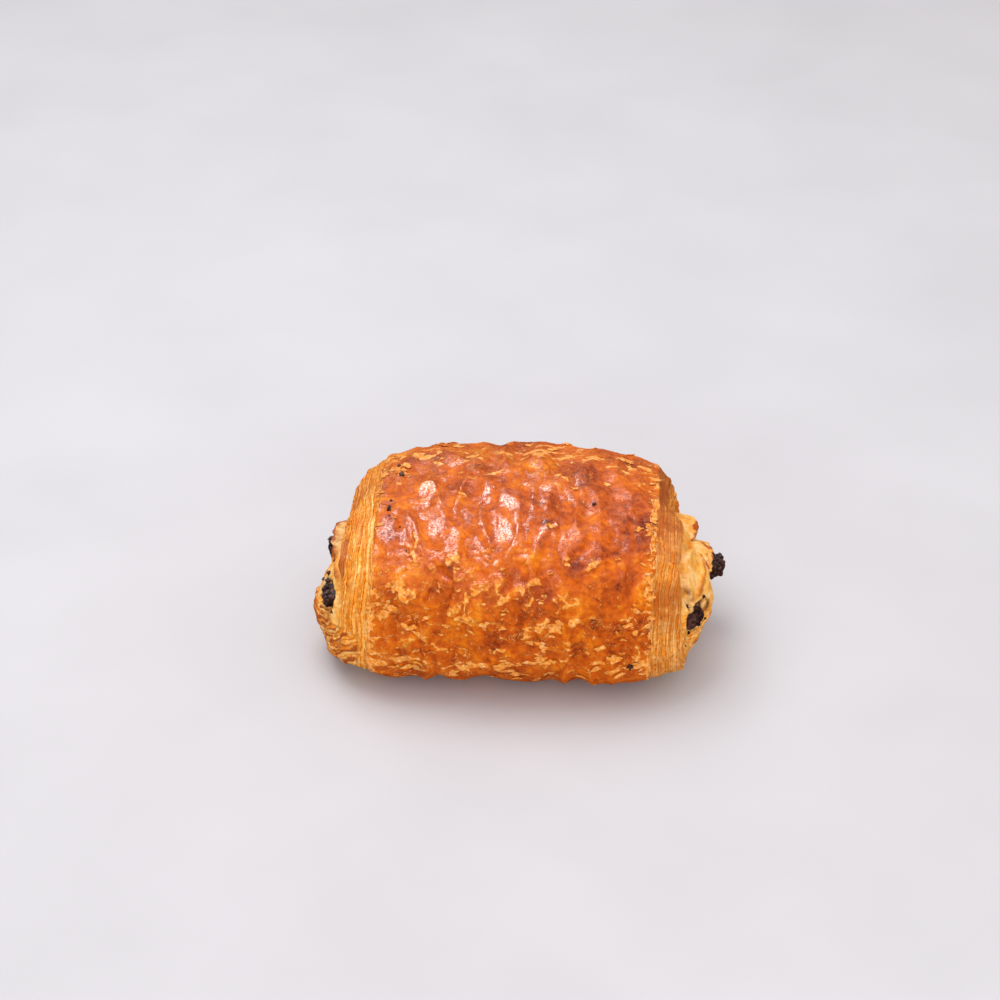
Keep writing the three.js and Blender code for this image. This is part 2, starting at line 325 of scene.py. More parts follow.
class Finish:
    """A material and short ways to add to it."""

    def __init__(self, name):
        self.material = bpy.data.materials.new(name)
        self.material.use_nodes = True
        self.tree = self.material.node_tree
        self.shader = self.tree.nodes["Principled BSDF"]
        self.place = self.tree.nodes.new("ShaderNodeTexCoord").outputs["Object"]

    def add(self, kind, inputs, **settings):
        """Adds a node. An input is a number, or another node's output to link."""
        node = self.tree.nodes.new(kind)
        for key, value in settings.items():
            setattr(node, key, value)
        for key, value in inputs.items():
            if isinstance(value, bpy.types.NodeSocket):
                self.tree.links.new(value, node.inputs[key])
            else:
                node.inputs[key].default_value = value
        return node

    def value(self, name):
        """A value that was stored with the points."""
        return self.add("ShaderNodeAttribute", {}, attribute_name=name).outputs["Fac"]

    def noise(self, size, detail=2, stretch=(1, 1, 1), distortion=0, **extra):
        """Noise from 0 to 1, in blobs about `size` mm wide, and `stretch` times longer each way."""
        scale = [1 / (size * MM * s) for s in stretch]
        moved = self.add("ShaderNodeMapping", {"Vector": self.place, "Scale": scale})
        inputs = {"Vector": moved.outputs[0], "Scale": 1, "Detail": detail, "Distortion": distortion}
        dimensions = "4D" if extra else "3D"
        node = self.add("ShaderNodeTexNoise", {**inputs, **extra}, noise_dimensions=dimensions)
        return node.outputs["Fac"]

    def own_noise(self, leaf, size):
        """Noise that is different on every leaf."""
        return self.noise(size, W=self.math("MULTIPLY", leaf, 3.7))

    def math(self, operation, a, b=0.0, c=0.0):
        return self.add("ShaderNodeMath", {0: a, 1: b, 2: c}, operation=operation).outputs[0]

    def slope(self, value, low, high, to_low=0.0, to_high=1.0):
        """An easy step: to_low under `low`, to_high over `high`."""
        inputs = {"Value": value, "From Min": low, "From Max": high, "To Min": to_low, "To Max": to_high}
        return self.add("ShaderNodeMapRange", inputs, interpolation_type="SMOOTHSTEP").outputs[0]

    def ramp(self, value, stops):
        """Colours along a value: {place: colour}."""
        node = self.add("ShaderNodeValToRGB", {"Fac": value})
        band = node.color_ramp
        while len(band.elements) < len(stops):
            band.elements.new(0.5)
        for element, (place, code) in zip(band.elements, sorted(stops.items())):
            element.position = place
            element.color = paint(code)
        return node.outputs["Color"]

    def mix(self, share, a, b):
        """A colour between two, each a code or another node's colour."""
        node = self.add("ShaderNodeMix", {"Factor": share}, data_type="RGBA")
        for key, colour in ((6, a), (7, b)):
            if isinstance(colour, str):
                node.inputs[key].default_value = paint(colour)
            else:
                self.tree.links.new(colour, node.inputs[key])
        return node.outputs[2]

    def bump(self, height, depth, under=None):
        """Relief of `depth` mm from a height between 0 and 1."""
        inputs = {"Height": height, "Distance": depth * MM, "Strength": 1.0}
        if under is not None:
            inputs["Normal"] = under
        return self.add("ShaderNodeBump", inputs).outputs["Normal"]

    def set(self, **sockets):
        """Sets what the shader reads: each socket gets a value or a link."""
        for key, value in sockets.items():
            socket = self.shader.inputs[key.replace("_", " ")]
            if isinstance(value, bpy.types.NodeSocket):
                self.tree.links.new(value, socket)
            else:
                socket.default_value = value


# %% [markdown]
# The glazed crust
#
# Egg wash bakes to a thin gloss over an orange-brown skin. Its colour follows how far each place was baked,
# with painted light that makes the raised puffs paler and painted shade that makes its hollows deeper
# orange, and where the skin has frayed, pale matt flakes show. A single brown would look like plastic, so
# the brown is mixed from noise at three sizes, from patches a few millimetres wide down to grain. The gloss
# is a coat over a base that hardly shines. The grain breaks it up, and flakes and valleys have almost none
# of it.

# %% Crust finish
SKIN_COLOURS = {
    0.0: "#F4BE6C",
    0.16: "#EE9E34",
    0.32: "#E48410",
    0.48: "#D66C00",
    0.64: "#C45600",
    0.82: "#A44000",
    1.0: "#6C1C00",
}
FLAKE_COLOURS = {0.28: "#DC7614", 0.42: "#EA9030", 0.55: "#F2AA54", 0.72: "#FCCE94"}


def torn_skin(f, patches, crackle):
    """1 where a pale matt flake shows, 0 on whole skin."""
    ragged = f.noise(2.4, 7, stretch=(2.0, 1, 1), distortion=0.4)
    split = f.math("MULTIPLY_ADD", f.value("frayed"), 0.40, ragged)
    puffed = f.math("MULTIPLY_ADD", crackle, 0.5, f.value("pale"))
    flake = f.math("MAXIMUM", f.slope(split, 0.71, 0.735), f.slope(puffed, 0.66, 0.74))
    swirls = f.noise(3.0, 5, stretch=(1, 1.3, 1.3), distortion=0.8)
    contour = f.math("ABSOLUTE", f.math("SUBTRACT", swirls, 0.5))
    where_torn = f.slope(f.math("ADD", patches, f.value("frayed")), 0.55, 0.85)
    torn = f.math("MULTIPLY", f.slope(contour, 0.004, 0.016, 1, 0), where_torn)
    return f.math("MAXIMUM", flake, f.math("MULTIPLY", torn, 0.75))


def crust_finish():
    f = Finish("glazed_crust")
    patches = f.noise(6, 3)
    crackle = f.noise(1.6, 6, stretch=(1.2, 1, 1), distortion=0.3)
    grain = f.noise(0.45, 5)
    # bake_and_shading holds how far the skin baked, with painted light on raised places and painted shade in
    # valleys.
    baked = f.math("MULTIPLY_ADD", patches, 0.55, f.value("bake_and_shading"))
    baked = f.math("MULTIPLY_ADD", f.slope(crackle, 0.36, 0.66), -0.16, baked)
    baked = f.math("MULTIPLY_ADD", grain, -0.2, baked)
    skin = f.ramp(f.math("ADD", baked, -0.02), SKIN_COLOURS)
    flake = torn_skin(f, patches, crackle)
    pale = f.ramp(f.noise(0.9, 5), FLAKE_COLOURS)
    rough_relief = f.slope(f.value("gloss"), 0, 1, 1.0, 0.35)
    normal = f.bump(f.math("MULTIPLY", crackle, rough_relief), 0.8)
    normal = f.bump(grain, 0.16, normal)
    normal = f.bump(flake, 0.16, normal)
    glazed = f.math("MULTIPLY", f.value("gloss"), f.slope(flake, 0, 1, 1.0, 0.3))
    f.set(
        Base_Color=f.mix(f.math("MULTIPLY", flake, 0.82), skin, pale),
        Roughness=f.math("MULTIPLY_ADD", glazed, -0.42, f.slope(grain, 0.35, 0.65, 0.68, 0.8)),
        Specular_IOR_Level=0.18,
        Normal=normal,
        Coat_Weight=f.math("MULTIPLY", glazed, f.slope(grain, 0.45, 0.56, 0.04, 1.0)),
        Coat_Roughness=0.38,
        Coat_IOR=1.95,
    )
    return f.material


CRUST_FINISH = crust_finish()

# %% [markdown]
# Where the crust frays
#
# Under the front's bulge and over the top's far edge the skin splits into flakes, and beside the cut edges
# it is dry and pale. Over the middle it is whole. One function says how much of the skin is frayed, from 0
# to 1.

# %% Frayed zones
EDGE_X = (-37.0, 41.0)
FRONT_LOW = arc_of(math.radians(196))
TOP_BACK = arc_of(math.radians(66))
CORNER_ARC = arc_of(math.radians(170))


def frayed(x, arc):
    """How much of the skin is frayed, from 0 to 1."""
    front = 0.31 * hill(arc, FRONT_LOW - 3, 17)
    top = 0.40 * hill(arc, TOP_BACK, 12)
    edges = 0.12 * (hill(x, EDGE_X[0], 3) + hill(x, EDGE_X[1], 3))
    back = 0.4 * smooth((-arc - 35) / 20)
    corner = 0.25 * hill(x, -34, 9) * hill(arc, CORNER_ARC, 12)
    belly = 0.1 * hill(arc, 43, 9) * hill(x, 4, 22)
    return np.clip(0.04 + front + top + edges + back + corner + belly, 0, 0.7)


# %% [markdown]
# Leaves in relief
#
# Each leaf of dough is about half a millimetre thick. Its cut edge is a soft ridge with a dark groove
# beside it. A leaf count that runs across the surface gives both: its whole part says which leaf a point is
# on, so that each leaf can be frayed its own way, and its fraction says how far across the leaf the point
# lies.

# %% Leaves in relief
def leaf_ridges(count, length, seed):
    """Relief from 0 to 1 of leaves counted by `count`, each frayed its own way along `length`."""
    leaf = np.floor(count)
    across = count - leaf
    ridge = 1 - np.abs(2 * across - 1) ** 2.5
    own = joined(length, 9.7 * leaf, 0.0)
    return ridge * (0.62 + 0.55 * cloud(own, 6, seed))


# %% [markdown]
# Marks that a baker would point at
#
# Some marks are too plain to leave to chance: the long valleys between the puffed places, a few sharp
# ridges, blisters, dark patches and one burst knob. They are listed on the unrolled crust, as points of
# (x, arc) in millimetres, and strokes through them. A point's distance to the nearest stroke gives the
# shape.

# %% Placed marks
CHANNELS = [
    [(-14.8, 7.6), (-16.0, 14.6), (-15.5, 18.5), (-12.8, 21.9), (-10.0, 24.4)],
    [(-8.0, -0.6), (-9.0, 7.5)],
    [(-3.5, 4.3), (-3.8, 11.3), (-5.8, 14.3), (-5.0, 19.5), (-4.2, 23.6)],
    [(-23.2, 20.0), (-22.5, 25.1), (-20.2, 28.2), (-18.0, 28.8)],
    [(1.0, -12.4), (2.8, -7.3), (5.2, -3.1)],
    [(4.0, 5.3), (5.5, 10.8), (5.2, 14.9), (4.2, 18.8)],
    [(12.0, 24.4), (11.5, 27.4), (10.5, 30.3)],
    [(23.2, 23.5), (21.8, 27.0), (19.2, 30.0)],
    [(5.2, 33.3), (6.2, 37.2)],
    [(27.0, 17.3), (29.0, 21.9), (28.2, 26.1)],
    [(-28.5, 11.7), (-29.8, 18.0), (-29.2, 22.5)],
    [(-19.2, 1.4), (-20.2, 7.5)],
    [(16.0, 10.2), (17.5, 15.2), (16.2, 19.9)],
]
RIDGES = [
    [(-25.0, 24.4), (-24.0, 27.4), (-24.8, 31.3), (-24.2, 33.7)],
    [(-10.0, 41.1), (-10.2, 46.7), (-9.8, 54.1)],
    [(-27.8, 51.1), (-21.8, 56.5), (-15.2, 60.0)],
    [(-29.5, 62.6), (-24.8, 64.1), (-19.8, 64.0)],
]
BLISTERS = [
    (18.0, 4.3), (-13.2, 9.0), (13.0, -0.1), (26.8, 0.0),
    (8.5, 37.7), (24.2, 32.3), (39.5, 19.1), (12.2, 20.5),
]
DARK = [(-16.5, 32.8), (27.8, 29.2), (34.5, 19.2), (31.8, 36.4)]
KNOB = {"x": 12.2, "arc": 20.5, "ring": 1.6, "rise": 0.55}


def near_strokes(strokes, x, arc):
    """Distance from each point of the skin to the nearest of the strokes, in mm."""
    nearest = np.full(np.broadcast(x, arc).shape, 99.0)
    for stroke in strokes:
        for (x0, a0), (x1, a1) in zip(stroke, stroke[1:]):
            length = math.hypot(x1 - x0, a1 - a0)
            along = ((x - x0) * (x1 - x0) + (arc - a0) * (a1 - a0)) / length**2
            t = np.clip(along, 0, 1)
            nearest = np.minimum(nearest, np.hypot(x - x0 - t * (x1 - x0), arc - a0 - t * (a1 - a0)))
    return nearest


# %% [markdown]
# Layers of the skin
#
# The rest of what the eye reads as baked comes in layers, from puffs as wide as a fingertip down to grain.
# Each layer is noise of its own size, squeezed along the roll or round it. Before that the whole skin is
# bent by slow noise, because a baked wrinkle never runs straight. Zones say between which arcs a thing
# shows, and the tables of heights and colours say what it does there, so that one number changes one thing.

# %% Layers and zones
# Size in mm, seed, and how far the pattern is squeezed along x and round the roll.
LAYERS = {
    "puffs": (7.5, 23, (1, 0.78, 1)),
    "small_puffs": (4.2, 29, (1, 0.85, 1)),
    "pimples": (2.3, 30, (1, 0.8, 1)),
    "grain": (1.1, 36, (1, 0.6, 1)),
    "winding": (8.5, 25, (1, 0.5, 1)),
    "crests": (4.8, 47, (1, 0.55, 1)),
    "veins": (3.6, 37, (0.8, 1, 1)),
}
# The arc where each starts, the length of its slope up, the arc where it ends, and of its slope down.
ZONES = {
    "valleys": (-26, 14, 82, 18),
    "crests": (26, 10, 72, 14),
    "streaks": (24, 8, 62, 12),
    "glaze": (-26, 20, 52, 26),
    "gloss": (-30, 25, 50, 30),
}
WANDER = 2.6  # mm by which slow noise bends the pattern


def layer(name, points):
    size, seed, squeeze = LAYERS[name]
    return noise(points * squeeze, size, seed)


# %% [markdown]
# Valleys, crests and strands
#
# The brush rode over the puffs and missed the valleys, so these stay matt, with a crisp edge. Low on the
# front the skin split into crests that lie along the roll and streaks that slant across it. Beside both
# cut edges it is drawn out into strands. Each of these is a small function of the unrolled crust.

# %% Shapes in the skin
def valleys(x, arc, flat, wandering):
    """Soft valleys, and the matt ground in them: placed channels, and others that wind about."""
    winding = np.abs(layer("winding", wandering))
    puffed = smooth(noise(flat, 17, 24) + 0.75) * between(arc, *ZONES["valleys"])
    ragged = cloud(flat, 2.4, 52, 4)
    to_channel = near_strokes(CHANNELS, x, arc)
    soft = np.maximum(smooth((2.1 - to_channel) / 2.1), 0.6 * smooth((0.28 - winding) / 0.28) * puffed)
    matt = smooth((0.13 + 0.09 * ragged - winding) / 0.05) * smooth((puffed - 0.4) / 0.3)
    return soft, np.maximum(matt, smooth((1.4 + 0.8 * ragged - to_channel) / 0.5))


def split_skin(x, arc, flat, wandering):
    """Crests along the roll, and streaks that slant across them."""
    crests = layer("crests", wandering) + 0.3 * noise(flat, 1.8, 48)
    slanting = joined(0.35 * (0.8 * x - 0.6 * arc), 0.6 * x + 0.8 * arc, 0.0)
    streaks = noise(slanting, 3.0, 49) + 0.35 * cloud(flat, 1.6, 51)
    crests = between(arc, *ZONES["crests"]) * smooth((crests - 0.1) / 0.4)
    return crests, between(arc, *ZONES["streaks"]) * smooth((streaks - 0.22) / 0.25)


def edge_strands(x, arc, flat):
    """The margins beside both cut edges, and the strands in them."""
    inward = np.minimum(x - EDGE_X[0], EDGE_X[1] - x) + 0.5 * noise(flat, 5, 43)
    margin = smooth((3.4 - inward) / 3)
    count = inward / 0.75 + 0.8 * noise(flat * (1, 0.4, 1), 4, 44)
    return margin, margin * leaf_ridges(count, arc, 45)


# %% [markdown]
# The skin's height and values
#
# All marks come together here. What each one lifts is in the first table, in millimetres. What it does to
# the baking, with painted light and shade, and to the paleness of the skin is in the other two, as shares
# that the finish reads.

# %% Crust relief
LIFT = {
    "puffs": 1, "pimples": 1, "valley": -0.7, "crease": 0.05, "low_veins": 0.12,
    "ridge": 0.3, "blister": 0.25, "knob": 1, "crests": 0.55, "streaks": 0.4,
}
# Baking plus painted light and shade: puffs, pimples and crests get paler the higher they stand (painted
# light), and the valleys' matt ground gets darker (painted shade). Crests are also flaky, and valleys
# unglazed.
BAKE_AND_SHADING = {
    "matt": 0.1, "puffs": -0.25, "pimples": -0.4, "crests": -0.16, "streaks": -0.2,
    "dark": 0.1, "knob_ring": 0.12, "edges": -0.1, "low": 0.06,
}
PALE = {
    "crests": 0.14, "streaks": 0.2, "ridge": 0.3, "blister": 0.36,
    "veins": 0.066, "low_veins": 0.154, "matt": -0.3,
}


def weighted(marks, weights):
    return sum(weight * marks[key] for key, weight in weights.items())


def skin_marks(x, arc, flat, wandering):
    """Every mark of the skin: puffs, pimples and the knob in mm, and the others from 0 to 1."""
    valley, matt = valleys(x, arc, flat, wandering)
    crests, streaks = split_skin(x, arc, flat, wandering)
    rough_edge = 0.35 * noise(flat, 2.2, 39)
    low = smooth((arc - 30) / 14)
    veins = hill(layer("veins", wandering), 0, 0.07) * smooth((noise(flat, 8, 38) + 0.1 + 0.3 * low) * 3)
    creases = hill(noise(wandering * (1, 0.7, 1) + 3, 5.5, 26), 0, 0.05)
    away = np.hypot(x - KNOB["x"], arc - KNOB["arc"])
    return {
        "puffs": 0.4 * layer("puffs", wandering) + 0.26 * layer("small_puffs", wandering),
        "pimples": 0.16 * layer("pimples", wandering) + 0.13 * layer("grain", wandering),
        "valley": valley,
        "matt": matt,
        "crests": crests,
        "streaks": streaks,
        "crease": creases * smooth(noise(flat, 9, 27) + 0.3),
        "ridge": smooth((0.7 + rough_edge - near_strokes(RIDGES, x, arc)) / 0.7),
        "blister": sum(hill(np.hypot((x - bx) * 0.7, arc - ba) + rough_edge, 0, 1.1) for bx, ba in BLISTERS),
        "dark": sum(hill(np.hypot(x - dx, arc - da), 0, 4) for dx, da in DARK),
        "knob": KNOB["rise"] * (hill(away, KNOB["ring"], 0.55) - 0.9 * hill(away, 0.2, 0.8)),
        "knob_ring": hill(away, KNOB["ring"], 0.8),
        "edges": hill(x, EDGE_X[0], 3) + hill(x, EDGE_X[1], 3),
        "low": low,
        "veins": veins,
        "low_veins": veins * low,
    }


def crust_skin(x, angle):
    """The lift of the skin in mm, and the values that its finish reads."""
    arc = arc_of(angle)
    flat = joined(x, arc, 0.0)
    wandering = flat + WANDER * joined(noise(flat, 11, 21), noise(flat, 11, 22), 0.0)
    marks = skin_marks(x, arc, flat, wandering)
    margin, strands = edge_strands(x, arc, flat)
    upper = smooth((np.sin(angle) + 0.95) / 0.4)
    calm = (1 - 0.6 * hill(arc, TOP_BACK, 14)) * (1 - 0.5 * margin) * smooth((84 - arc) / 26)
    lift = weighted(marks, LIFT) * calm + 0.3 * strands

    # Painted shade: rightward makes the skin's colour a little darker towards the right end, away from the
    # window lamp. It also dulls the gloss there.
    rightward = smooth((x - 6) / 22)
    glazed = between(arc, *ZONES["glaze"]) * (0.08 - 0.15 * marks["matt"])
    bake_and_shading = 0.50 + 0.18 * cloud(flat, 15, 35, 2) + weighted(marks, BAKE_AND_SHADING) + glazed + 0.05 * rightward
    pale = 0.24 + weighted(marks, PALE) + 0.24 * margin + 0.34 * (strands - 0.4 * margin)
    gloss = 0.05 + 0.95 * between(arc, *ZONES["gloss"]) + 0.2 * smooth(-arc / 30)
    gloss = gloss * (1 - 0.72 * rightward) * (0.5 + 0.5 * upper) * (1 - 0.94 * marks["matt"])
    clumps = 0.62 + 0.5 * smooth(0.5 + 1.2 * noise(flat * (0.6, 1, 1), 9, 53))
    values = {
        "bake_and_shading": bake_and_shading,
        "frayed": frayed(x, arc) * upper * clumps,
        "pale": pale,
        "gloss": gloss * (0.85 + 0.5 * noise(wandering, 5, 46)),
    }
    return lift * upper, values


# %% [markdown]
# Building the crust
#
# The crust is a barrel. Its grid runs once round the roll and from the left edge to the right one, and the
# rows past each edge turn in and close inside the roll, where the end's leaves cover them. Columns lie
# closer together where the skin can be seen well than underneath.

# %% Crust piece
LEFT_EDGE = {"size": 37.0, "bumps": [(-0.6, 130, 40), (0.9, 200, 40)]}
RIGHT_EDGE = {"size": 41.0, "bumps": [(0.6, 90, 40), (-0.5, 200, 40)]}
CRUST_GRID = (228, 430)  # rows along the roll, columns round it
LIP = 0.8  # length over which the skin's edge turns down


def spread_angles(count):
    """Angles from underneath, round over the back, top and front, and back underneath."""
    above = smooth((np.sin(arc_angles) + 0.9) / 0.3)
    in_front = smooth((arc_lengths + 50) / 15)
    fineness = (0.3 + 0.4 * above + 0.6 * in_front) * np.where(arc_lengths > 78, 0.4, 1.0)
    steps = np.diff(arc_lengths) * (fineness[1:] + fineness[:-1]) / 2
    measure = np.concatenate([[0], np.cumsum(steps)])
    return np.interp(np.linspace(0, measure[-1], count), measure, arc_angles)


def crust_points(rows, columns):
    """Points of the skin from edge to edge, and their values."""
    angle = spread_angles(columns)[None, :]
    along = np.linspace(-1, 1, rows)[:, None]
    ragged = cloud(joined(20 * np.sign(along), arc_of(angle), 0.0), 5, 41, 5)
    edge = np.where(along < 0, with_bumps(LEFT_EDGE, angle), with_bumps(RIGHT_EDGE, angle))
    edge = edge + 0.6 * ragged * smooth((np.sin(angle) + 0.95) / 0.4)
    x = along * edge
    lip = SKIN * smooth((np.abs(along) * edge - edge + LIP) / LIP) ** 2
    base = about_axis(x, crust_radius(x, angle) - lip, angle)
    lift, values = crust_skin(x, angle)
    skin = base + (lift * (1 - lip / SKIN))[..., None] * surface_normals(base)
    skin[..., 2] = np.maximum(skin[..., 2], 0)
    return skin, values


def padded(values, before, after):
    """Values for rows added before the first and after the last."""
    return {key: np.pad(value, ((before, after), (0, 0)), mode="edge") for key, value in values.items()}


def closed_inside(skin, values, inset=3.0):
    """Adds rows that turn in past both edges and meet on the axis."""
    axis = np.array((0, 0, AXIS_HEIGHT))
    rows = []
    for ring, side in ((skin[0], 1), (skin[-1], -1)):
        inner = axis + (ring - axis) * (1, 0.93, 0.93) + (side * inset, 0, 0)
        pole = np.broadcast_to(inner.mean(axis=0), inner.shape)
        rows.append((inner, pole))
    (left, left_pole), (right, right_pole) = rows
    points = np.concatenate([[left_pole, left], skin, [right, right_pole]])
    return points, padded(values, 2, 2)


grid_piece("crust", *closed_inside(*crust_points(*CRUST_GRID)), CRUST_FINISH)

# %% [markdown]
# The cut ends
#
# Where the roll was cut, its leaves show as fine lines beside the crust's edge. Inside them the two inner
# rolls bulge out, each wound round its chocolate. An end is one surface over a polar grid: the ring of the
# crust outside, the roll's axis in the middle, and at each point a height that the leaves, the rolls and
# the gaps between them give.

# %% Sizes of the ends
LEFT_END = {
    "sign": -1,
    "edge": LEFT_EDGE,
    "reach": {"size": 8.2, "bumps": [(5.4, 214, 34), (1.0, 80, 40)]},
    "depth": {"size": 10.5, "bumps": [(3.5, 214, 34), (4.5, 80, 50)]},
    "foot": {"size": 0, "bumps": [(2.8, 226, 24)]},
    "rolls": [
        {
            "y": 7.5, "z": 19.0, "ry": 17.0, "rz": 12.0, "proud": 10.0,
            "pitch": 0.9, "relief": 0.25, "sweep": 0,
        },
        {
            "y": -12.2, "z": 15.4, "ry": 25.0, "rz": 27.0, "proud": 17.7,
            "pitch": 1.1, "relief": 0.75, "sweep": 1,
        },
    ],
    "sticks": [(7.5, 20.6), (-19.6, 22.8)],
    "folds": [
        [(-11.0, 31.5), (-15.0, 29.7), (-21.0, 29.9)],
        [(-17.0, 39.0), (-22.5, 36.0), (-27.0, 32.0)],
    ],
    "arch": [(-5.0, 37.0), (-12.0, 39.5), (-17.9, 39.5), (-22.0, 37.5)],
    "hollow": 0.4,
    "stains": [(-15.0, 24.5, 1.6), (-15.5, 37.5, 1.6)],
    "toast_and_shade": 0.42,
    # Painted light: the band of leaves beside the crust is a little lighter at this end.
    "band": -0.06,
    "shaggy": 235,
    "seed": 50,
}
RIGHT_END = {
    "sign": 1,
    "edge": RIGHT_EDGE,
    "reach": {"size": 6.4, "bumps": [(2.4, 190, 50), (-2.9, 80, 42)]},
    "depth": {"size": 10.5, "bumps": [(2.5, 80, 50)]},
    "foot": {"size": 0, "bumps": [(4.0, 214, 26)]},
    "rolls": [
        {
            "y": 8.0, "z": 20.0, "ry": 17.4, "rz": 13.4, "proud": 11.0,
            "pitch": 0.9, "relief": 0.2, "sweep": 0,
        },
        {
            "y": -12.5, "z": 22.2, "ry": 22.0, "rz": 28.0, "proud": 16.9,
            "pitch": 1.2, "relief": 0.4, "sweep": 0.3,
        },
    ],
    "sticks": [(9.0, 18.2), (-21.5, 22.0)],
    "folds": [[(-8.5, 33.0), (-13.0, 33.0), (-16.2, 31.7), (-19.0, 30.0), (-20.7, 28.4)]],
    "arch": [
        (-11.0, 38.5), (-14.8, 40.0), (-18.1, 40.2), (-22.4, 38.3),
        (-24.4, 33.9), (-25.5, 29.6), (-24.5, 25.5),
    ],
    "hollow": 1.6,
    "stains": [(-24.6, 31.1, 1.3), (-23.5, 28.5, 0.9)],
    "toast_and_shade": 0.38,
    # Painted shade: the band of leaves beside the crust is darker at this end.
    "band": 0.27,
    "shaggy": 225,
    "seed": 70,
}

# %% [markdown]
# Form of an end
#
# Three heights meet at each point of an end: the outer turn's stepped leaves, and a dome for each inner
# roll. The highest wins, and where two are nearly as high, the valley between them is rounded. These are
# the same functions that shape the frame's solid, so the leaves lie on it.

# %% Form of an end
LEAF_BUNDLES = 5  # bundles of leaves that show in the outer turn's cut edge
TURN_RECESS = 5  # drop from the outer turn to the gap round the inner rolls
GAP_CLOSED = (275, 40)  # angle and width of where the dough runs on without that gap
WINDING = {"rise": 0.4, "turns": 2.6}
VALLEY_RADIUS = 0.8
RIM_FADE = 9  # depth over which an end forgets the wandering of the crust's edge


def turn_reach(end, depth, angle):
    """How far the outer turn's cut leaves stand out at a depth below the crust."""
    width = with_bumps(end["depth"], angle)
    step = width / LEAF_BUNDLES
    whole = np.floor(depth / step)
    stepped = step * (whole + smooth((depth / step - whole) * 2))
    t = np.clip(stepped / width, 0, 1)
    rounded = with_bumps(end["reach"], angle) * (1 - (1 - t) ** 1.5) ** 0.8
    flare = with_bumps(end["foot"], angle) * np.sin(np.pi * np.sqrt(t))
    gap = 1 - bell(angle, *GAP_CLOSED)
    return rounded + flare - TURN_RECESS * gap * smooth((depth - width + 1) / 3)


def across_roll(roll, y, z):
    """0 in the middle of an inner roll, 1 at its edge."""
    return np.hypot((y - roll["y"]) / roll["ry"], (z - roll["z"]) / roll["rz"])


def roll_reach(roll, y, z):
    """How far an inner roll stands out: a dome of wound leaves."""
    q = across_roll(roll, y, z)
    turn = WINDING["turns"] * q + np.arctan2(z - roll["z"], y - roll["y"]) / TAU
    winding = WINDING["rise"] * np.cos(TAU * turn) * smooth(q * 3) * smooth((1 - q) * 4)
    dome = roll["proud"] * np.maximum(1 - np.minimum(q, 1) ** 1.6, 0) ** 0.9 + winding
    return np.where(q >= 1, roll["proud"] * (1 - q) * 2, dome)


def end_form(end, share, angle):
    """Base points of an end, and what each point belongs to."""
    edge = with_bumps(end["edge"], angle)
    rim = crust_radius(end["sign"] * edge, angle) - SKIN
    radius = share * rim
    depth = rim - radius
    y = radius * np.cos(angle)
    z = radius * np.sin(angle) + AXIS_HEIGHT
    rolls = [roll_reach(roll, y, z) for roll in end["rolls"]]
    heights = np.stack([turn_reach(end, depth, angle), *rolls])
    top = heights.max(axis=0)
    parts = np.exp((heights - top) / VALLEY_RADIUS)
    reach = (top + VALLEY_RADIUS * np.log(parts.sum(axis=0))) * smooth((depth + 0.7) / 4)
    wander = (edge - end["edge"]["size"]) * (1 - smooth(depth / RIM_FADE))
    points = about_axis(end["sign"] * (end["edge"]["size"] + reach + wander), radius, angle)
    return points, {"depth": depth, "y": y, "z": z, "parts": parts / parts.sum(axis=0)}


# %% [markdown]
# The ends' own leaves
#
# The outer turn's leaves run side by side with the crust's edge, in bundles. Over each inner roll a smooth
# sheet bulges round the chocolate, and below it the roll's leaves lie like worn steps with browned edges.

# %% Leaves of the outer turn
LINE_PITCH = 0.6  # mm from leaf to leaf
LEAVES_PER_RIDGE = 2.5


def turn_leaves(end, angle, info, length):
    """Lift of the outer turn's cut edge in mm, and the count of its leaves."""
    sway = joined(length, info["depth"], 0.0)
    even = info["run"] / LINE_PITCH + 1.6 * cloud(sway * (0.4, 1, 1), 9, end["seed"])
    count = even + 0.6 * np.sin(1.3 * even)
    rise = 0.34 + 0.1 * with_bumps(end["foot"], angle)
    return rise * leaf_ridges(count / LEAVES_PER_RIDGE, length, end["seed"] + 4), count


# %% Leaves of the inner rolls
STRIAE = 30  # fine lines round a roll's sheet
SWEPT = (208, 30)  # angle and width of where a roll's leaves run out over the outer turn


def roll_leaves(end, roll, part, stick, angle, info):
    """What covers an inner roll: the sheet round its chocolate, and worn steps of leaves below it."""
    seed = end["seed"]
    spot = info["spot"]
    y = info["y"] - stick[0]
    z = info["z"] - stick[1]
    around = np.arctan2(z, -y) / TAU
    away = np.hypot(y, z)
    swept = roll["sweep"] * smooth(1.6 * bell(angle, *SWEPT)) * smooth((25 - away) / 4)
    under_stick = smooth((-z - 1 - 0.06 * np.abs(y) + 3.4 * noise(spot, 8, seed + 28)) / 4)
    inside = smooth((info["depth"] - 0.4) / 2)
    wound = away / roll["pitch"] + around + 0.9 * cloud(spot, 5, seed + 8, 4)
    return {
        "sheet": part * smooth((0.78 - across_roll(roll, info["y"], info["z"])) / 0.08),
        "striae": STRIAE * around + 1.2 * cloud(spot, 6, seed + 6),
        "below": smooth((np.maximum(part, swept) * under_stick * inside - 0.25) * 2),
        "wound": wound,
        "ridges": 1.3 * leaf_ridges(wound, 60 * around, seed + 12),
    }


# %% [markdown]
# Folds, hollows and stains
#
# The sheet over an inner roll is folded in places, it leaves a dark hollow under an arch of dough beside
# it, and melted chocolate has stained it round the sticks. These are listed as strokes and spots of (y, z).

# %% Marks on an end
STICK_HOLE = {"width": 4.8, "height": 3.6}  # halves, of where the dough is drawn in round a stick


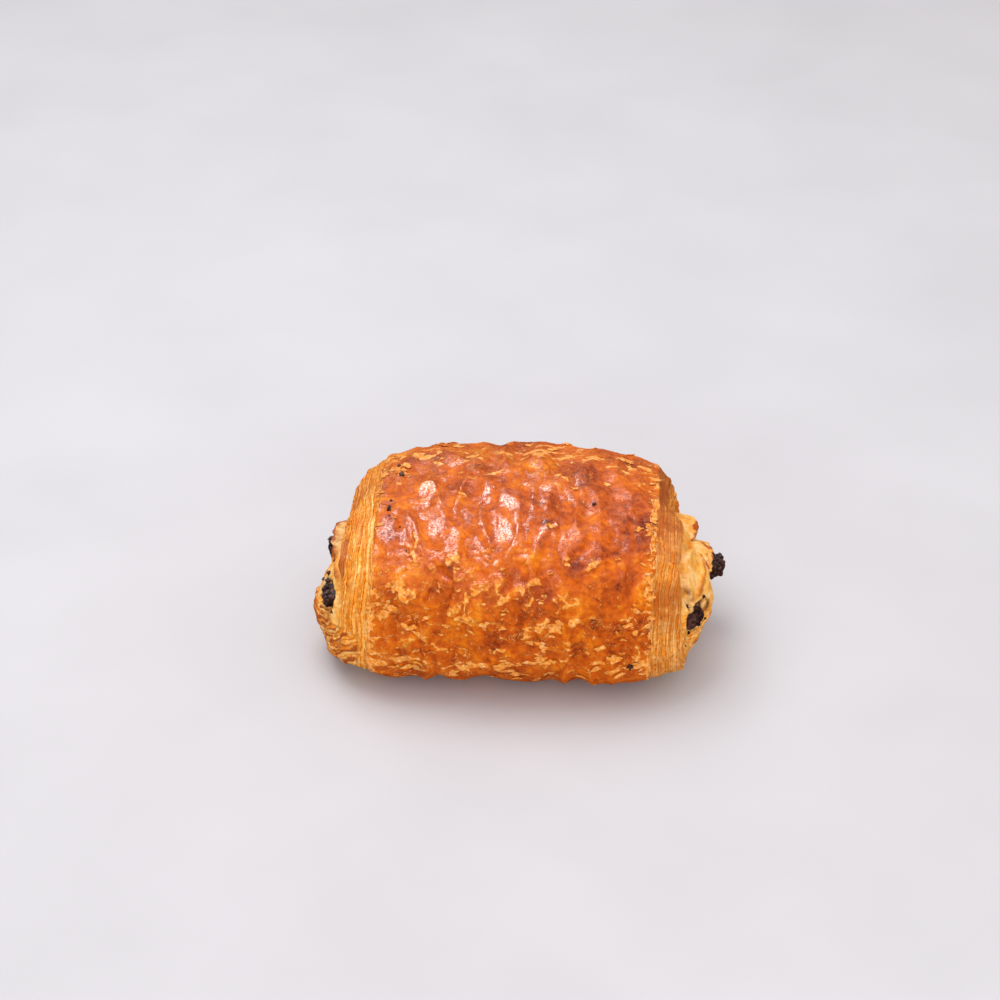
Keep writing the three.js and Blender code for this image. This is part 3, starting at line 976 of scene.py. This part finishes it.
def end_marks(end, info, inner):
    y, z = info["y"], info["z"]
    pinch = np.zeros_like(inner)
    for stick_y, stick_z in end["sticks"]:
        wide = np.abs((y - stick_y) / STICK_HOLE["width"]) ** 3
        high = np.abs((z - stick_z) / STICK_HOLE["height"]) ** 3
        pinch = np.maximum(pinch, smooth((1.2 - (wide + high) ** (1 / 3)) / 0.3))
    arch = near_strokes([end["arch"]], y, z)
    spots = sum(0.8 * hill(np.hypot(y - at_y, z - at_z), 0, size) for at_y, at_z, size in end["stains"])
    return {
        "pinch": pinch,
        "fold": smooth((1.6 - near_strokes(end["folds"], y, z)) / 1.5),
        "hollow": smooth(1.3 - arch),
        "lip": smooth((2.6 - np.abs(arch - 2.2)) / 2.6) * (1 - inner),
        "stain": np.maximum(pinch, spots),
    }


# %% Leaves of an end
def end_leaves(end, angle, info):
    """Lift of the end's surface in mm, and the values that its finish reads."""
    seed = end["seed"]
    spot = info["spot"] = joined(info["y"], info["z"], 0.0)
    length = arc_of((angle + np.pi / 2) % TAU - np.pi / 2)
    lift, count = turn_leaves(end, angle, info, length)
    browned = 0
    inner = 0
    for roll, part, stick in zip(end["rolls"], info["parts"][1:], end["sticks"]):
        leaves = roll_leaves(end, roll, part, stick, angle, info)
        sheet, below = leaves["sheet"], leaves["below"]
        lift = lift * (1 - sheet) + sheet * (0.2 * cloud(spot, 2.6, seed + 9, 4) - 0.5)
        lift = lift * (1 - below) + below * (roll["relief"] * leaves["ridges"] - 0.3)
        count = np.where(sheet > 0.5, leaves["striae"], count)
        count = np.where(below > 0.5, leaves["wound"], count)
        browned = browned + below * roll["relief"] * (leaves["ridges"] - 0.4)
        inner = inner + sheet * (1 - below)
    marks = end_marks(end, info, inner)
    shaggy = (1 - inner) * bell(angle, end["shaggy"], 40)
    lift = lift + 0.3 * cloud(spot, 5, seed + 16, 4) + 0.35 * shaggy * cloud(spot, 2.4, seed + 24)
    lift = lift + 0.8 * marks["fold"] + 0.6 * marks["lip"] - 0.8 * marks["pinch"]
    lift = lift - end["hollow"] * marks["hollow"]
    beside_crust = (1 - inner) * smooth((8 - info["depth"]) / 3)
    toast_and_shade = end["toast_and_shade"] + (0.12 + 0.13 * inner) * cloud(spot, 9, seed + 20)
    toast_and_shade = toast_and_shade + 1.3 * browned + 0.3 * marks["fold"] - 0.14 * shaggy
    # The band term paints shade on the right end's band and a little light on the left end's.
    toast_and_shade = toast_and_shade + 0.2 * (1 - inner) * bell(angle, 75, 40) + end["band"] * beside_crust
    values = {
        "leaf": count,
        "inner": inner * (1 - 0.6 * marks["fold"]),
        "toast_and_shade": toast_and_shade,
        "stain": marks["stain"],
        "shaggy": shaggy,
    }
    return lift, values


# %% [markdown]
# The dough of the ends
#
# The cut leaves were never glazed. They are golden, with thin brown lines between them, paler and more
# yellow on the inner rolls, and brown on what stood out in the oven. Soft light goes a little way into
# them.

# %% Dough finish
GOLD_COLOURS = {0.3: "#A84804", 0.42: "#CE6408", 0.54: "#E48012", 0.66: "#F29E34", 0.8: "#FBC878"}
CREAM_COLOURS = {0.32: "#E28C26", 0.48: "#EDB04E", 0.66: "#FBD998"}
FLECK_COLOUR = "#F8BE6C"
BROWNED_COLOUR = "#AC5014"
STAIN_COLOUR = "#5B3020"


def dough_finish():
    f = Finish("laminated_dough")
    mottle = f.noise(1.8, 3)
    grain = f.noise(0.4, 2)
    leaf = f.math("MULTIPLY_ADD", f.noise(1.4, 2), 0.7, f.value("leaf"))
    across = f.math("FRACT", leaf)
    gap = f.slope(f.math("ABSOLUTE", f.math("SUBTRACT", across, 0.5)), 0.28, 0.5)
    tone = f.math("MULTIPLY_ADD", f.own_noise(f.math("FLOOR", leaf), 9), 0.8, f.math("MULTIPLY", gap, -0.2))
    tone = f.math("MULTIPLY_ADD", f.noise(0.8, 5), 0.5, tone)
    cream = f.ramp(f.noise(3, 5), CREAM_COLOURS)
    lined = f.mix(f.math("MULTIPLY", f.value("inner"), 0.78), f.ramp(tone, GOLD_COLOURS), cream)
    shaggy = f.math("MULTIPLY_ADD", f.value("shaggy"), 0.16, f.noise(1.3, 7, distortion=0.5))
    fleck = f.slope(shaggy, 0.6, 0.64)
    lined = f.mix(f.math("MULTIPLY", fleck, 0.7), lined, FLECK_COLOUR)
    # toast_and_shade holds browning, with the painted shade and light of the ends' bands.
    toast_and_shade = f.math("MULTIPLY_ADD", mottle, 0.3, f.value("toast_and_shade"))
    toast_and_shade = f.math("MULTIPLY_ADD", grain, 0.15, toast_and_shade)
    browned = f.mix(f.slope(toast_and_shade, 0.6, 1.15), lined, BROWNED_COLOUR)
    stained = f.mix(f.math("MULTIPLY", f.value("stain"), f.slope(mottle, 0.35, 0.65)), browned, STAIN_COLOUR)
    line = f.math("MULTIPLY", gap, f.slope(f.value("inner"), 0, 1, 1.0, 0.45))
    normal = f.bump(f.math("MULTIPLY", line, -1.0), 0.16)
    normal = f.bump(grain, 0.08, normal)
    normal = f.bump(fleck, 0.12, normal)
    f.set(
        Base_Color=stained,
        Roughness=f.slope(mottle, 0.3, 0.7, 0.5, 0.68),
        Specular_IOR_Level=0.15,
        Normal=normal,
        Coat_Weight=0.06,
        Coat_Roughness=0.35,
        Subsurface_Weight=0.18,
        Subsurface_Radius=(1.0, 0.55, 0.25),
        Subsurface_Scale=0.0018,
    )
    return f.material


DOUGH_FINISH = dough_finish()

# %% [markdown]
# Building the ends
#
# The grid's first rows are a skirt that reaches back under the crust and closes on the axis, so that the
# end is a shut body. Then come rows close together across the thin leaves, and wider ones over the inner
# rolls.

# %% Even rows
END_GRID = (230, 420)  # rows from the crust to the axis, columns round the end


def even_rows(end, rows, angle):
    """The end's points with rows evenly spaced along its surface: found in three rounds."""
    shares = np.linspace(1, 0, rows)
    for _ in range(3):
        used = shares
        points, info = end_form(end, used[:, None], angle)
        steps = np.linalg.norm(np.diff(points, axis=0), axis=-1)
        info["run"] = np.concatenate([0 * steps[:1], np.cumsum(steps, axis=0)])
        mean_run = info["run"].mean(axis=1)
        shares = np.interp(np.linspace(0, mean_run[-1], rows), mean_run, used)
    return points, info, used[:, None]


# %% End pieces
SKIRT = 4.0  # mm that an end reaches back under the crust


def end_points(end, rows, columns):
    """Points of an end from its skirt to its middle, and their values."""
    angle = np.linspace(-np.pi / 2, 3 * np.pi / 2, columns)[None, :]
    points, info, share = even_rows(end, rows, angle)
    lift, values = end_leaves(end, angle, info)
    lift = lift * smooth((1 - share) / 0.015) * smooth(share / 0.04)
    facing = surface_normals(points)
    facing *= np.sign((facing[..., :1] * end["sign"]).mean())
    surface = points + lift[..., None] * facing
    surface[..., 2] = np.maximum(surface[..., 2], 0)
    surface[-1] = surface[-1].mean(axis=0)
    skirt = surface[0] - (end["sign"] * SKIRT, 0, 0)
    pole = np.broadcast_to(skirt.mean(axis=0), skirt.shape)
    return np.concatenate([[pole, skirt], surface]), padded(values, 2, 0)


left_surface, left_values = end_points(LEFT_END, *END_GRID)
right_surface, right_values = end_points(RIGHT_END, *END_GRID)
grid_piece("left_end", left_surface, left_values, DOUGH_FINISH)
grid_piece("right_end", right_surface, right_values, DOUGH_FINISH)

# %% [markdown]
# Standing leaves
#
# A few leaves came away from the inner rolls and stood up in the oven, bent round the chocolate, with a
# browned ragged edge. Each is a thin sheet made from one grid that goes up its outer side, over its edge
# and down its inner side. Its walls meet along the root and at both ends, so welding the grid shuts it.

# %% Sizes of the standing leaves
# Each is bent round a centre (y, z), between two angles in degrees, and stands from root to tip.
STANDING = {
    "left_leaf": {
        "sign": -1, "centre": (7.5, 19.0), "radius": 9.6, "from": 72, "to": 232, "root": 40.0, "tip": 51.2,
        "thickness": 1.8, "lean": 0.3, "roundness": 8, "seed": 101, "toast_and_shade": 0.42, "stain": 0.4,
    },
    "right_leaf_round_stick": {
        "sign": 1, "centre": (7.0, 19.0), "radius": 7.6, "from": 55, "to": 200, "root": 45.0, "tip": 57.2,
        "thickness": 1.9, "lean": -0.8, "roundness": 5, "seed": 102, "toast_and_shade": 0.3, "stain": 0,
    },
    "right_leaf_arch": {
        "sign": 1, "centre": (-2.0, 17.0), "radius": 12.6, "from": 56, "to": 150, "root": 43.0, "tip": 56.0,
        "thickness": 1.8, "lean": 0.8, "roundness": 4, "seed": 103, "toast_and_shade": 0.34, "stain": 0,
    },
    "right_leaf_curl": {
        "sign": 1, "centre": (9.0, 21.0), "radius": 11.6, "from": 50, "to": 140, "root": 42.0, "tip": 52.8,
        "thickness": 3.2, "lean": -1.2, "roundness": 3, "seed": 105, "toast_and_shade": 0.4, "stain": 0,
    },
}
LEAF_GRID = (80, 140)  # rows up one side and down the other, columns along the leaf


# %% Standing leaves
def leaf_points(leaf, rows, columns):
    """Points of a leaf, up its outer side and down its inner side, and their values."""
    along = np.linspace(0, 1, columns)[None, :]
    turn = np.linspace(-1, 1, rows)[:, None]
    out = 1 - np.abs(turn)
    side = np.sign(turn)
    angle = np.radians(leaf["from"] + (leaf["to"] - leaf["from"]) * along)
    length = leaf["radius"] * (angle - angle[0, 0])
    spot = joined(length, leaf["tip"] * out / 4, 0.0)
    ragged = 1 + 0.07 * cloud(joined(length, 0.0, 0.0), 2.6, leaf["seed"], 4)
    rounding = (1 - 0.98 * np.abs(2 * along - 1) ** leaf["roundness"]) ** 0.6 * ragged
    closing = np.sqrt(np.clip((1 - out**10) * (1 - (2 * along - 1) ** 10), 0, 1)) * smooth(out / 0.06)
    wall = 0.5 * side * leaf["thickness"] * (1 - 0.55 * out) * closing
    frill = 0.6 * noise(spot * (1, 0.5, 1), 5, leaf["seed"] + 9) + 0.4 * np.sin(9 * along + leaf["radius"])
    striae = 0.12 * side * cloud(spot * (1, 0.4, 1), 1.6, leaf["seed"] + 5) * closing
    r = leaf["radius"] + leaf["lean"] * out**2 + wall + frill * out + striae
    x = leaf["sign"] * (leaf["root"] + (leaf["tip"] - leaf["root"]) * out * rounding)
    y = leaf["centre"][0] + r * np.cos(angle)
    z = leaf["centre"][1] + r * np.sin(angle)
    mottle = cloud(spot, 4, leaf["seed"] + 7)
    values = {
        "leaf": 0.6 * length + 0.8 * noise(spot, 5, leaf["seed"] + 3),
        "inner": 0.9,
        "toast_and_shade": leaf["toast_and_shade"] + 0.2 * mottle + 0.5 * smooth((out - 0.84 + 0.2 * mottle) / 0.16),
        "stain": leaf["stain"],
        "shaggy": 0,
    }
    return joined(x, y, z), values


for leaf_name, leaf in STANDING.items():
    grid_piece(leaf_name, *leaf_points(leaf, *LEAF_GRID), DOUGH_FINISH)

# %% [markdown]
# Chocolate
#
# The sticks are plain bars inside the roll. Their ends melted, boiled and set again as rough dark lumps
# with a dull shine, and a few crumbs of it stuck to the dough.

# %% Chocolate finish
def chocolate_finish():
    f = Finish("dark_chocolate")
    lumps = f.noise(1.1, 4)
    f.set(
        Base_Color=f.ramp(lumps, {0.3: "#1C0C0B", 0.48: "#3A1E19", 0.7: "#74463A"}),
        Roughness=f.slope(lumps, 0.35, 0.65, 0.3, 0.55),
        Specular_IOR_Level=0.5,
        Normal=f.bump(f.noise(0.7, 5), 0.9),
    )
    return f.material


CHOCOLATE_FINISH = chocolate_finish()

# %% [markdown]
# The sticks themselves
#
# Each bar runs from end to end through the dough and sags a little in its middle. Its rows lie closest at
# both ends, where it melted: there noise of several sizes breaks its square section up into lumps.

# %% Chocolate sticks
STICKS = {
    "chocolate_stick_back": {"left": (-53.2, 7.5, 20.6), "right": (61.0, 9.0, 18.2)},
    "chocolate_stick_front": {"left": (-51.6, -19.6, 22.8), "right": (55.0, -21.5, 22.0)},
}
STICK_WIDTH = 8.4
STICK_HEIGHT = 6.0
STICK_SAG = 2.2
STICK_GRID = (220, 97)
LUMPY_LENGTH = 12  # mm from each end over which a stick is lumpy, rough, and rounded off
ROUGH_LENGTH = 9
ROUNDED_LENGTH = 3.6


def stick_points(left, right, rows, columns):
    """Points of a stick, ring by ring."""
    run = np.linspace(-1, 1, rows)
    along = 0.5 + 0.5 * np.sign(run) * (1 - (1 - np.abs(run)) ** 2.2)
    start = np.array(left)
    end = np.array(right)
    middle = start + (end - start) * along[:, None]
    middle[:, 2] -= STICK_SAG * np.sin(np.pi * along)
    to_end = (np.minimum(along, 1 - along) * np.linalg.norm(end - start))[:, None]
    angle = np.linspace(0, TAU, columns)[None, :]
    c = np.cos(angle)
    s = np.sin(angle)
    bar = (np.abs(2 * c / STICK_WIDTH) ** 4 + np.abs(2 * s / STICK_HEIGHT) ** 4) ** -0.25
    x, y, z = middle.T[..., None]
    lump = 0.45 * smooth(1 - to_end / LUMPY_LENGTH) * waves(x, 4 * c + y, 4 * s, 5.5, 3.3)
    spot = joined(x, y + 4 * c, z + 4 * s)
    boiled = 1.5 * np.abs(noise(spot, 2.4, 94)) + 0.9 * np.abs(noise(spot, 1.2, 95))
    crumbled = smooth(1 - to_end / ROUGH_LENGTH) * (0.9 * cloud(spot, 4, 91, 2) + boiled - 1.1)
    closing = np.sqrt(np.clip(to_end / ROUNDED_LENGTH, 0, 1))
    r = np.maximum((bar + lump + crumbled) * closing, 0)
    return joined(x, y + r * c, z + r * s)


for stick_name, stick in STICKS.items():
    bar_points = stick_points(stick["left"], stick["right"], *STICK_GRID)
    piece_name = stick_name.replace("chocolate_stick", "melted_stick")
    grid_piece(piece_name, bar_points, {}, CHOCOLATE_FINISH, "dark_chocolate", (stick_name,))

# %% [markdown]
# Crumbs and loose flakes
#
# Crumbs of chocolate stick to the dough, a few burnt specks sit on the crust, and thin flakes of skin curl
# up from it. All are small round bodies from bmesh: a crumb is a lumpy ball, and a flake is a ball pressed
# flat, torn round its outline and laid on the crust, so that it follows the roll.

# %% Scattered bits
CRUMB_LEVEL = 3  # subdivisions of a crumb's ball, and of a flake's
FLAKE_LEVEL = 4


def add_ball(bm, level):
    bmesh.ops.create_icosphere(bm, subdivisions=level, radius=1)


@cache
def ball(level):
    """The points of a ball of radius 1."""
    bm = bmesh.new()
    add_ball(bm, level)
    points = np.array([vert.co for vert in bm.verts])
    bm.free()
    return points


def scattered_piece(name, level, bodies, values, finish, slot):
    """One piece of many small bodies, each a ball of the same level moved to its own points."""
    bm = bmesh.new()
    for _ in bodies:
        add_ball(bm, level)
    mesh = bpy.data.meshes.new(name)
    bm.to_mesh(mesh)
    bm.free()
    points = np.concatenate(bodies)
    mesh.vertices.foreach_set("co", ((points + TO_FRAME) * MM).astype(np.float32).ravel())
    store(mesh, values, (len(points),))
    finish_piece(name, mesh, finish, slot, ())


# %% Places for crumbs
def crumb(centre, size, seed):
    unit = ball(CRUMB_LEVEL)
    lumpy = 0.6 + 0.9 * np.abs(cloud(unit * size + 7 * seed, 1.1 * size, seed, 2))
    return np.array(centre) + unit * size * lumpy[:, None]


def on_crust(x, arc, rise=0):
    """Points `rise` mm above the dressed crust's surface."""
    angle = angle_of(arc)
    return about_axis(x, crust_radius(x, angle) + crust_skin(x, angle)[0] + rise, angle)


def on_end(end_surface, y, z):
    """The point of an end's surface that lies at (y, z)."""
    off = np.hypot(end_surface[..., 1] - y, end_surface[..., 2] - z) - 0.05 * np.abs(end_surface[..., 0])
    return end_surface.reshape(-1, 3)[np.argmin(off)]


# %% [markdown]
# Chocolate crumbs and burnt specks
#
# Specks are placed on the crust by (x, arc) and crumbs on the ends by (y, z), each with its size. Nine more
# lumps sit round every end of a stick, by the golden angle, so that no two ends look alike.

# %% Crumb piece
SPECKS = [
    (-31, -3.5, 0.8), (-32.2, -9.5, 0.5), (-32.8, 10.1, 0.45), (-33, 13.6, 0.6), (-33, 15.0, 0.7),
    (-32.6, 17.9, 0.3), (23.5, 10.2, 0.65), (35.2, 64.8, 1.0), (-29.4, 22.0, 0.3), (-27.0, 30.0, 0.25),
    (6.0, 22.5, 0.2), (14.0, 57.0, 0.25),
]
LEFT_CRUMBS = [
    (-15.2, 24.6, 1.0), (-14.2, 26.2, 0.7), (-13.4, 23.8, 0.6), (-12.6, 25.4, 0.45), (-9.0, 27.2, 0.6),
    (-8.0, 28.4, 0.4), (-11.0, 29.5, 0.3), (-23.0, 25.0, 0.6), (-25.4, 21.0, 0.5), (2.0, 24.0, 0.5),
]
RIGHT_CRUMBS = [
    (-24.5, 26.5, 0.8), (-19.0, 26.4, 0.6), (-25.6, 18.6, 0.5), (6.0, 23.2, 0.6), (12.0, 13.6, 0.5),
    (-27.0, 15.0, 0.3), (-17.0, 17.6, 0.4),
]
LUMPS_PER_TIP = 9
rng = np.random.default_rng(7)
crumbs = [crumb(on_crust(x, arc) + (0, 0, 0.2 * size), size, i) for i, (x, arc, size) in enumerate(SPECKS)]
for surface, spots in ((left_surface, LEFT_CRUMBS), (right_surface, RIGHT_CRUMBS)):
    crumbs += [crumb(on_end(surface, y, z), size, 30 + i) for i, (y, z, size) in enumerate(spots)]
for i, (stick, side) in enumerate(product(STICKS.values(), ("left", "right"))):
    x, y, z = stick[side]
    for j in range(LUMPS_PER_TIP):
        turn = GOLDEN_ANGLE * j + i
        inward = math.copysign(rng.uniform(1.0, 2.6), x)
        spot = (x - inward, y + 2.9 * math.cos(turn), z + 1.7 * math.sin(turn))
        crumbs.append(crumb(spot, rng.uniform(0.8, 1.4), 60 + LUMPS_PER_TIP * i + j))
scattered_piece("chocolate_crumbs", CRUMB_LEVEL, crumbs, {}, CHOCOLATE_FINISH, "dark_chocolate")

# %% [markdown]
# Loose flakes
#
# A flake is a ball pressed flat and torn round its outline. Its middle lies on the skin, and its edge curls
# up, more on one side. Some sit on the blisters, a few stand by the right edge, and the rest are scattered
# where the photo's crust sheds them: under the bulge, beside both cut edges and along the top.

# %% Shape of a flake
def flake_body(x, arc, long, wide, turn, curl, seed):
    """A torn flake lying on the crust: `turn` in degrees from the roll's length."""
    unit = ball(FLAKE_LEVEL)
    bearing = np.arctan2(unit[:, 1], unit[:, 0])
    ring = joined(2 * np.cos(bearing), 2 * np.sin(bearing), 3.1 * seed)
    torn = 1 + 0.5 * cloud(ring, 1.6, 61)
    u = unit[:, 0] * long * torn
    v = unit[:, 1] * wide * torn
    c = math.cos(math.radians(turn))
    s = math.sin(math.radians(turn))
    spread = np.hypot(unit[:, 0], unit[:, 1])
    rise = 0.12 + curl * spread**3 * (0.6 + 0.4 * np.sin(bearing + seed)) + 0.09 * unit[:, 2]
    rise = rise + 0.12 * noise(ring * spread[:, None], 0.9, 62)
    return on_crust(x + u * c - v * s, arc + u * s + v * c, rise)


def scatter(count, x_range, arc_range, long, curl):
    """Random flakes in a field: x, arc, length, width, turn and curl of each."""
    for _ in range(count):
        size = long * rng.uniform(0.5, 1.3)
        place = (rng.uniform(*x_range), rng.uniform(*arc_range))
        yield (*place, size, size * rng.uniform(0.3, 0.6), rng.normal(0, 25), curl * rng.uniform(0.4, 1.3))


# %% Flake piece
FLAKES = [
    *((x, arc, 1.0, 0.6, 10 * i, 0.25) for i, (x, arc) in enumerate(BLISTERS)),
    *((39.0, 17.0 + 1.3 * i, 1.1, 0.7, 40 * i, 0.6) for i in range(4)),
    *scatter(34, (-36, 40), (48, 74), 1.7, 0.3),
    *scatter(18, (-37, -30), (-20, 60), 1.2, 0.4),
    *scatter(22, (36, 41), (-10, 66), 1.2, 0.5),
    *scatter(18, (-34, 38), (-34, -12), 1.7, 0.25),
    *scatter(20, (-30, 36), (28, 50), 0.7, 0.3),
]
FLAKE_VALUES = {"bake_and_shading": 0.3, "frayed": 0.85, "pale": 0.5, "gloss": 0.3}
flakes = [flake_body(*flake, seed) for seed, flake in enumerate(FLAKES)]
print("crumbs:", len(crumbs), "flakes:", len(flakes))
scattered_piece("loose_flakes", FLAKE_LEVEL, flakes, FLAKE_VALUES, CRUST_FINISH, "baked_dough")

# %% [markdown]
# Floor
#
# The pastry stands on a plain pale floor. The floor is stage, not part of the pastry, and it is kept out of
# reflections, because a glazed crust would mirror it as a grey band along its lower edge.

# %% Floor
def floor_finish():
    f = Finish("pale_floor")
    f.set(Base_Color=f.ramp(f.noise(60, 2), {0.3: "#BEBCBE", 0.7: "#C3C1C3"}), Roughness=0.9)
    return f.material


bm = bmesh.new()
bmesh.ops.create_grid(bm, x_segments=8, y_segments=8, size=2.5)
floor_mesh = bpy.data.meshes.new("floor")
bm.to_mesh(floor_mesh)
bm.free()
floor_mesh.materials.append(floor_finish())
floor = bpy.data.objects.new("floor", floor_mesh)
bpy.context.scene.collection.objects.link(floor)
floor.visible_glossy = False

# %% [markdown]
# Light
#
# One large soft window from above and to the left gives the form, and a weak lamp overhead softens it. The
# bright surround keeps the shadows light. Like the floor it isn't seen in reflections, so that the gloss
# comes from lamps alone and shows the shape of the puffs. The sheen lamp shines in the glaze and lights
# nothing else. A low bounce from the right and a fill from the front open the shadows, and neither is seen
# in the glaze.

# %% Light
def soft_light(name, place, aim, size, power, colour=(1.0, 1.0, 1.0)):
    """A square light at `place` that shines towards `aim`."""
    lamp = bpy.data.lights.new(name, "AREA")
    lamp.size = size
    lamp.energy = power
    lamp.color = colour
    holder = bpy.data.objects.new(name, lamp)
    bpy.context.scene.collection.objects.link(holder)
    holder.location = place
    along = np.array(aim) - np.array(place)
    tilt = math.atan2(math.hypot(along[0], along[1]), -along[2])
    holder.rotation_euler = (tilt, 0, math.atan2(along[1], along[0]) - math.pi / 2)
    return holder


soft_light("overhead", (-0.06, 0.06, 0.75), (0, 0, 0), 0.75, 0.5)
soft_light("window", (-0.18, 0.14, 0.7), (0, 0, 0), 0.5, 2.9, (0.93, 0.96, 1.0))
sheen = soft_light("sheen", (-0.22, 0.14, 0.66), (0, 0, 0), 0.5, 6.6, (0.95, 0.95, 0.96))
sheen.visible_diffuse = False
bounce = soft_light("bounce", (0.6, -0.45, 0.2), (0.05, 0, 0.03), 0.5, 1.0)
bounce.visible_glossy = False
fill = soft_light("fill", (-0.05, -0.75, 0.12), (0, 0, 0.03), 0.6, 2.6)
fill.visible_glossy = False

surround = bpy.data.worlds.new("surround")
surround.use_nodes = True
background = surround.node_tree.nodes["Background"]
background.inputs["Color"].default_value = paint("#F4F1F3")
background.inputs["Strength"].default_value = 1.02
surround.cycles_visibility.glossy = False
bpy.context.scene.world = surround
bpy.context.scene.view_settings.view_transform = "Standard"
print("lamps:", sorted(lamp.name for lamp in bpy.data.lights))

# %% [markdown]
# Camera
#
# The camera looks down from the front and a little from the right, through a long lens, which keeps the two
# ends the same size. Its place, its turn and the length of its lens were fitted to the pastry's outline in
# the photo.

# %% Camera
TARGET = np.array((-0.0034, 0.0007, 0.024))
DISTANCE = 0.824
AZIMUTH = math.radians(3.5)
ELEVATION = math.radians(34)
PITCH = math.radians(57.15)
YAW = math.radians(3.76)

lens = bpy.data.cameras.new("camera")
lens.lens = 104.4
lens.sensor_width = 36
lens.clip_start = 0.01
lens.clip_end = 20
camera = bpy.data.objects.new("camera", lens)
bpy.context.scene.collection.objects.link(camera)
back = (
    math.sin(AZIMUTH) * math.cos(ELEVATION),
    -math.cos(AZIMUTH) * math.cos(ELEVATION),
    math.sin(ELEVATION),
)
camera.location = TARGET + DISTANCE * np.array(back)
camera.rotation_euler = (PITCH, 0, YAW)
bpy.context.scene.camera = camera
print(f"camera: {DISTANCE:.3f} m away, {lens.lens:.1f} mm lens")

# %% [markdown]
# Triangles
#
# Last, the triangles of all the pieces are counted and printed. What the skin adds should stay within a
# millimetre or so.

# %% Triangles
print("triangles in all:", sum(counts.values()))
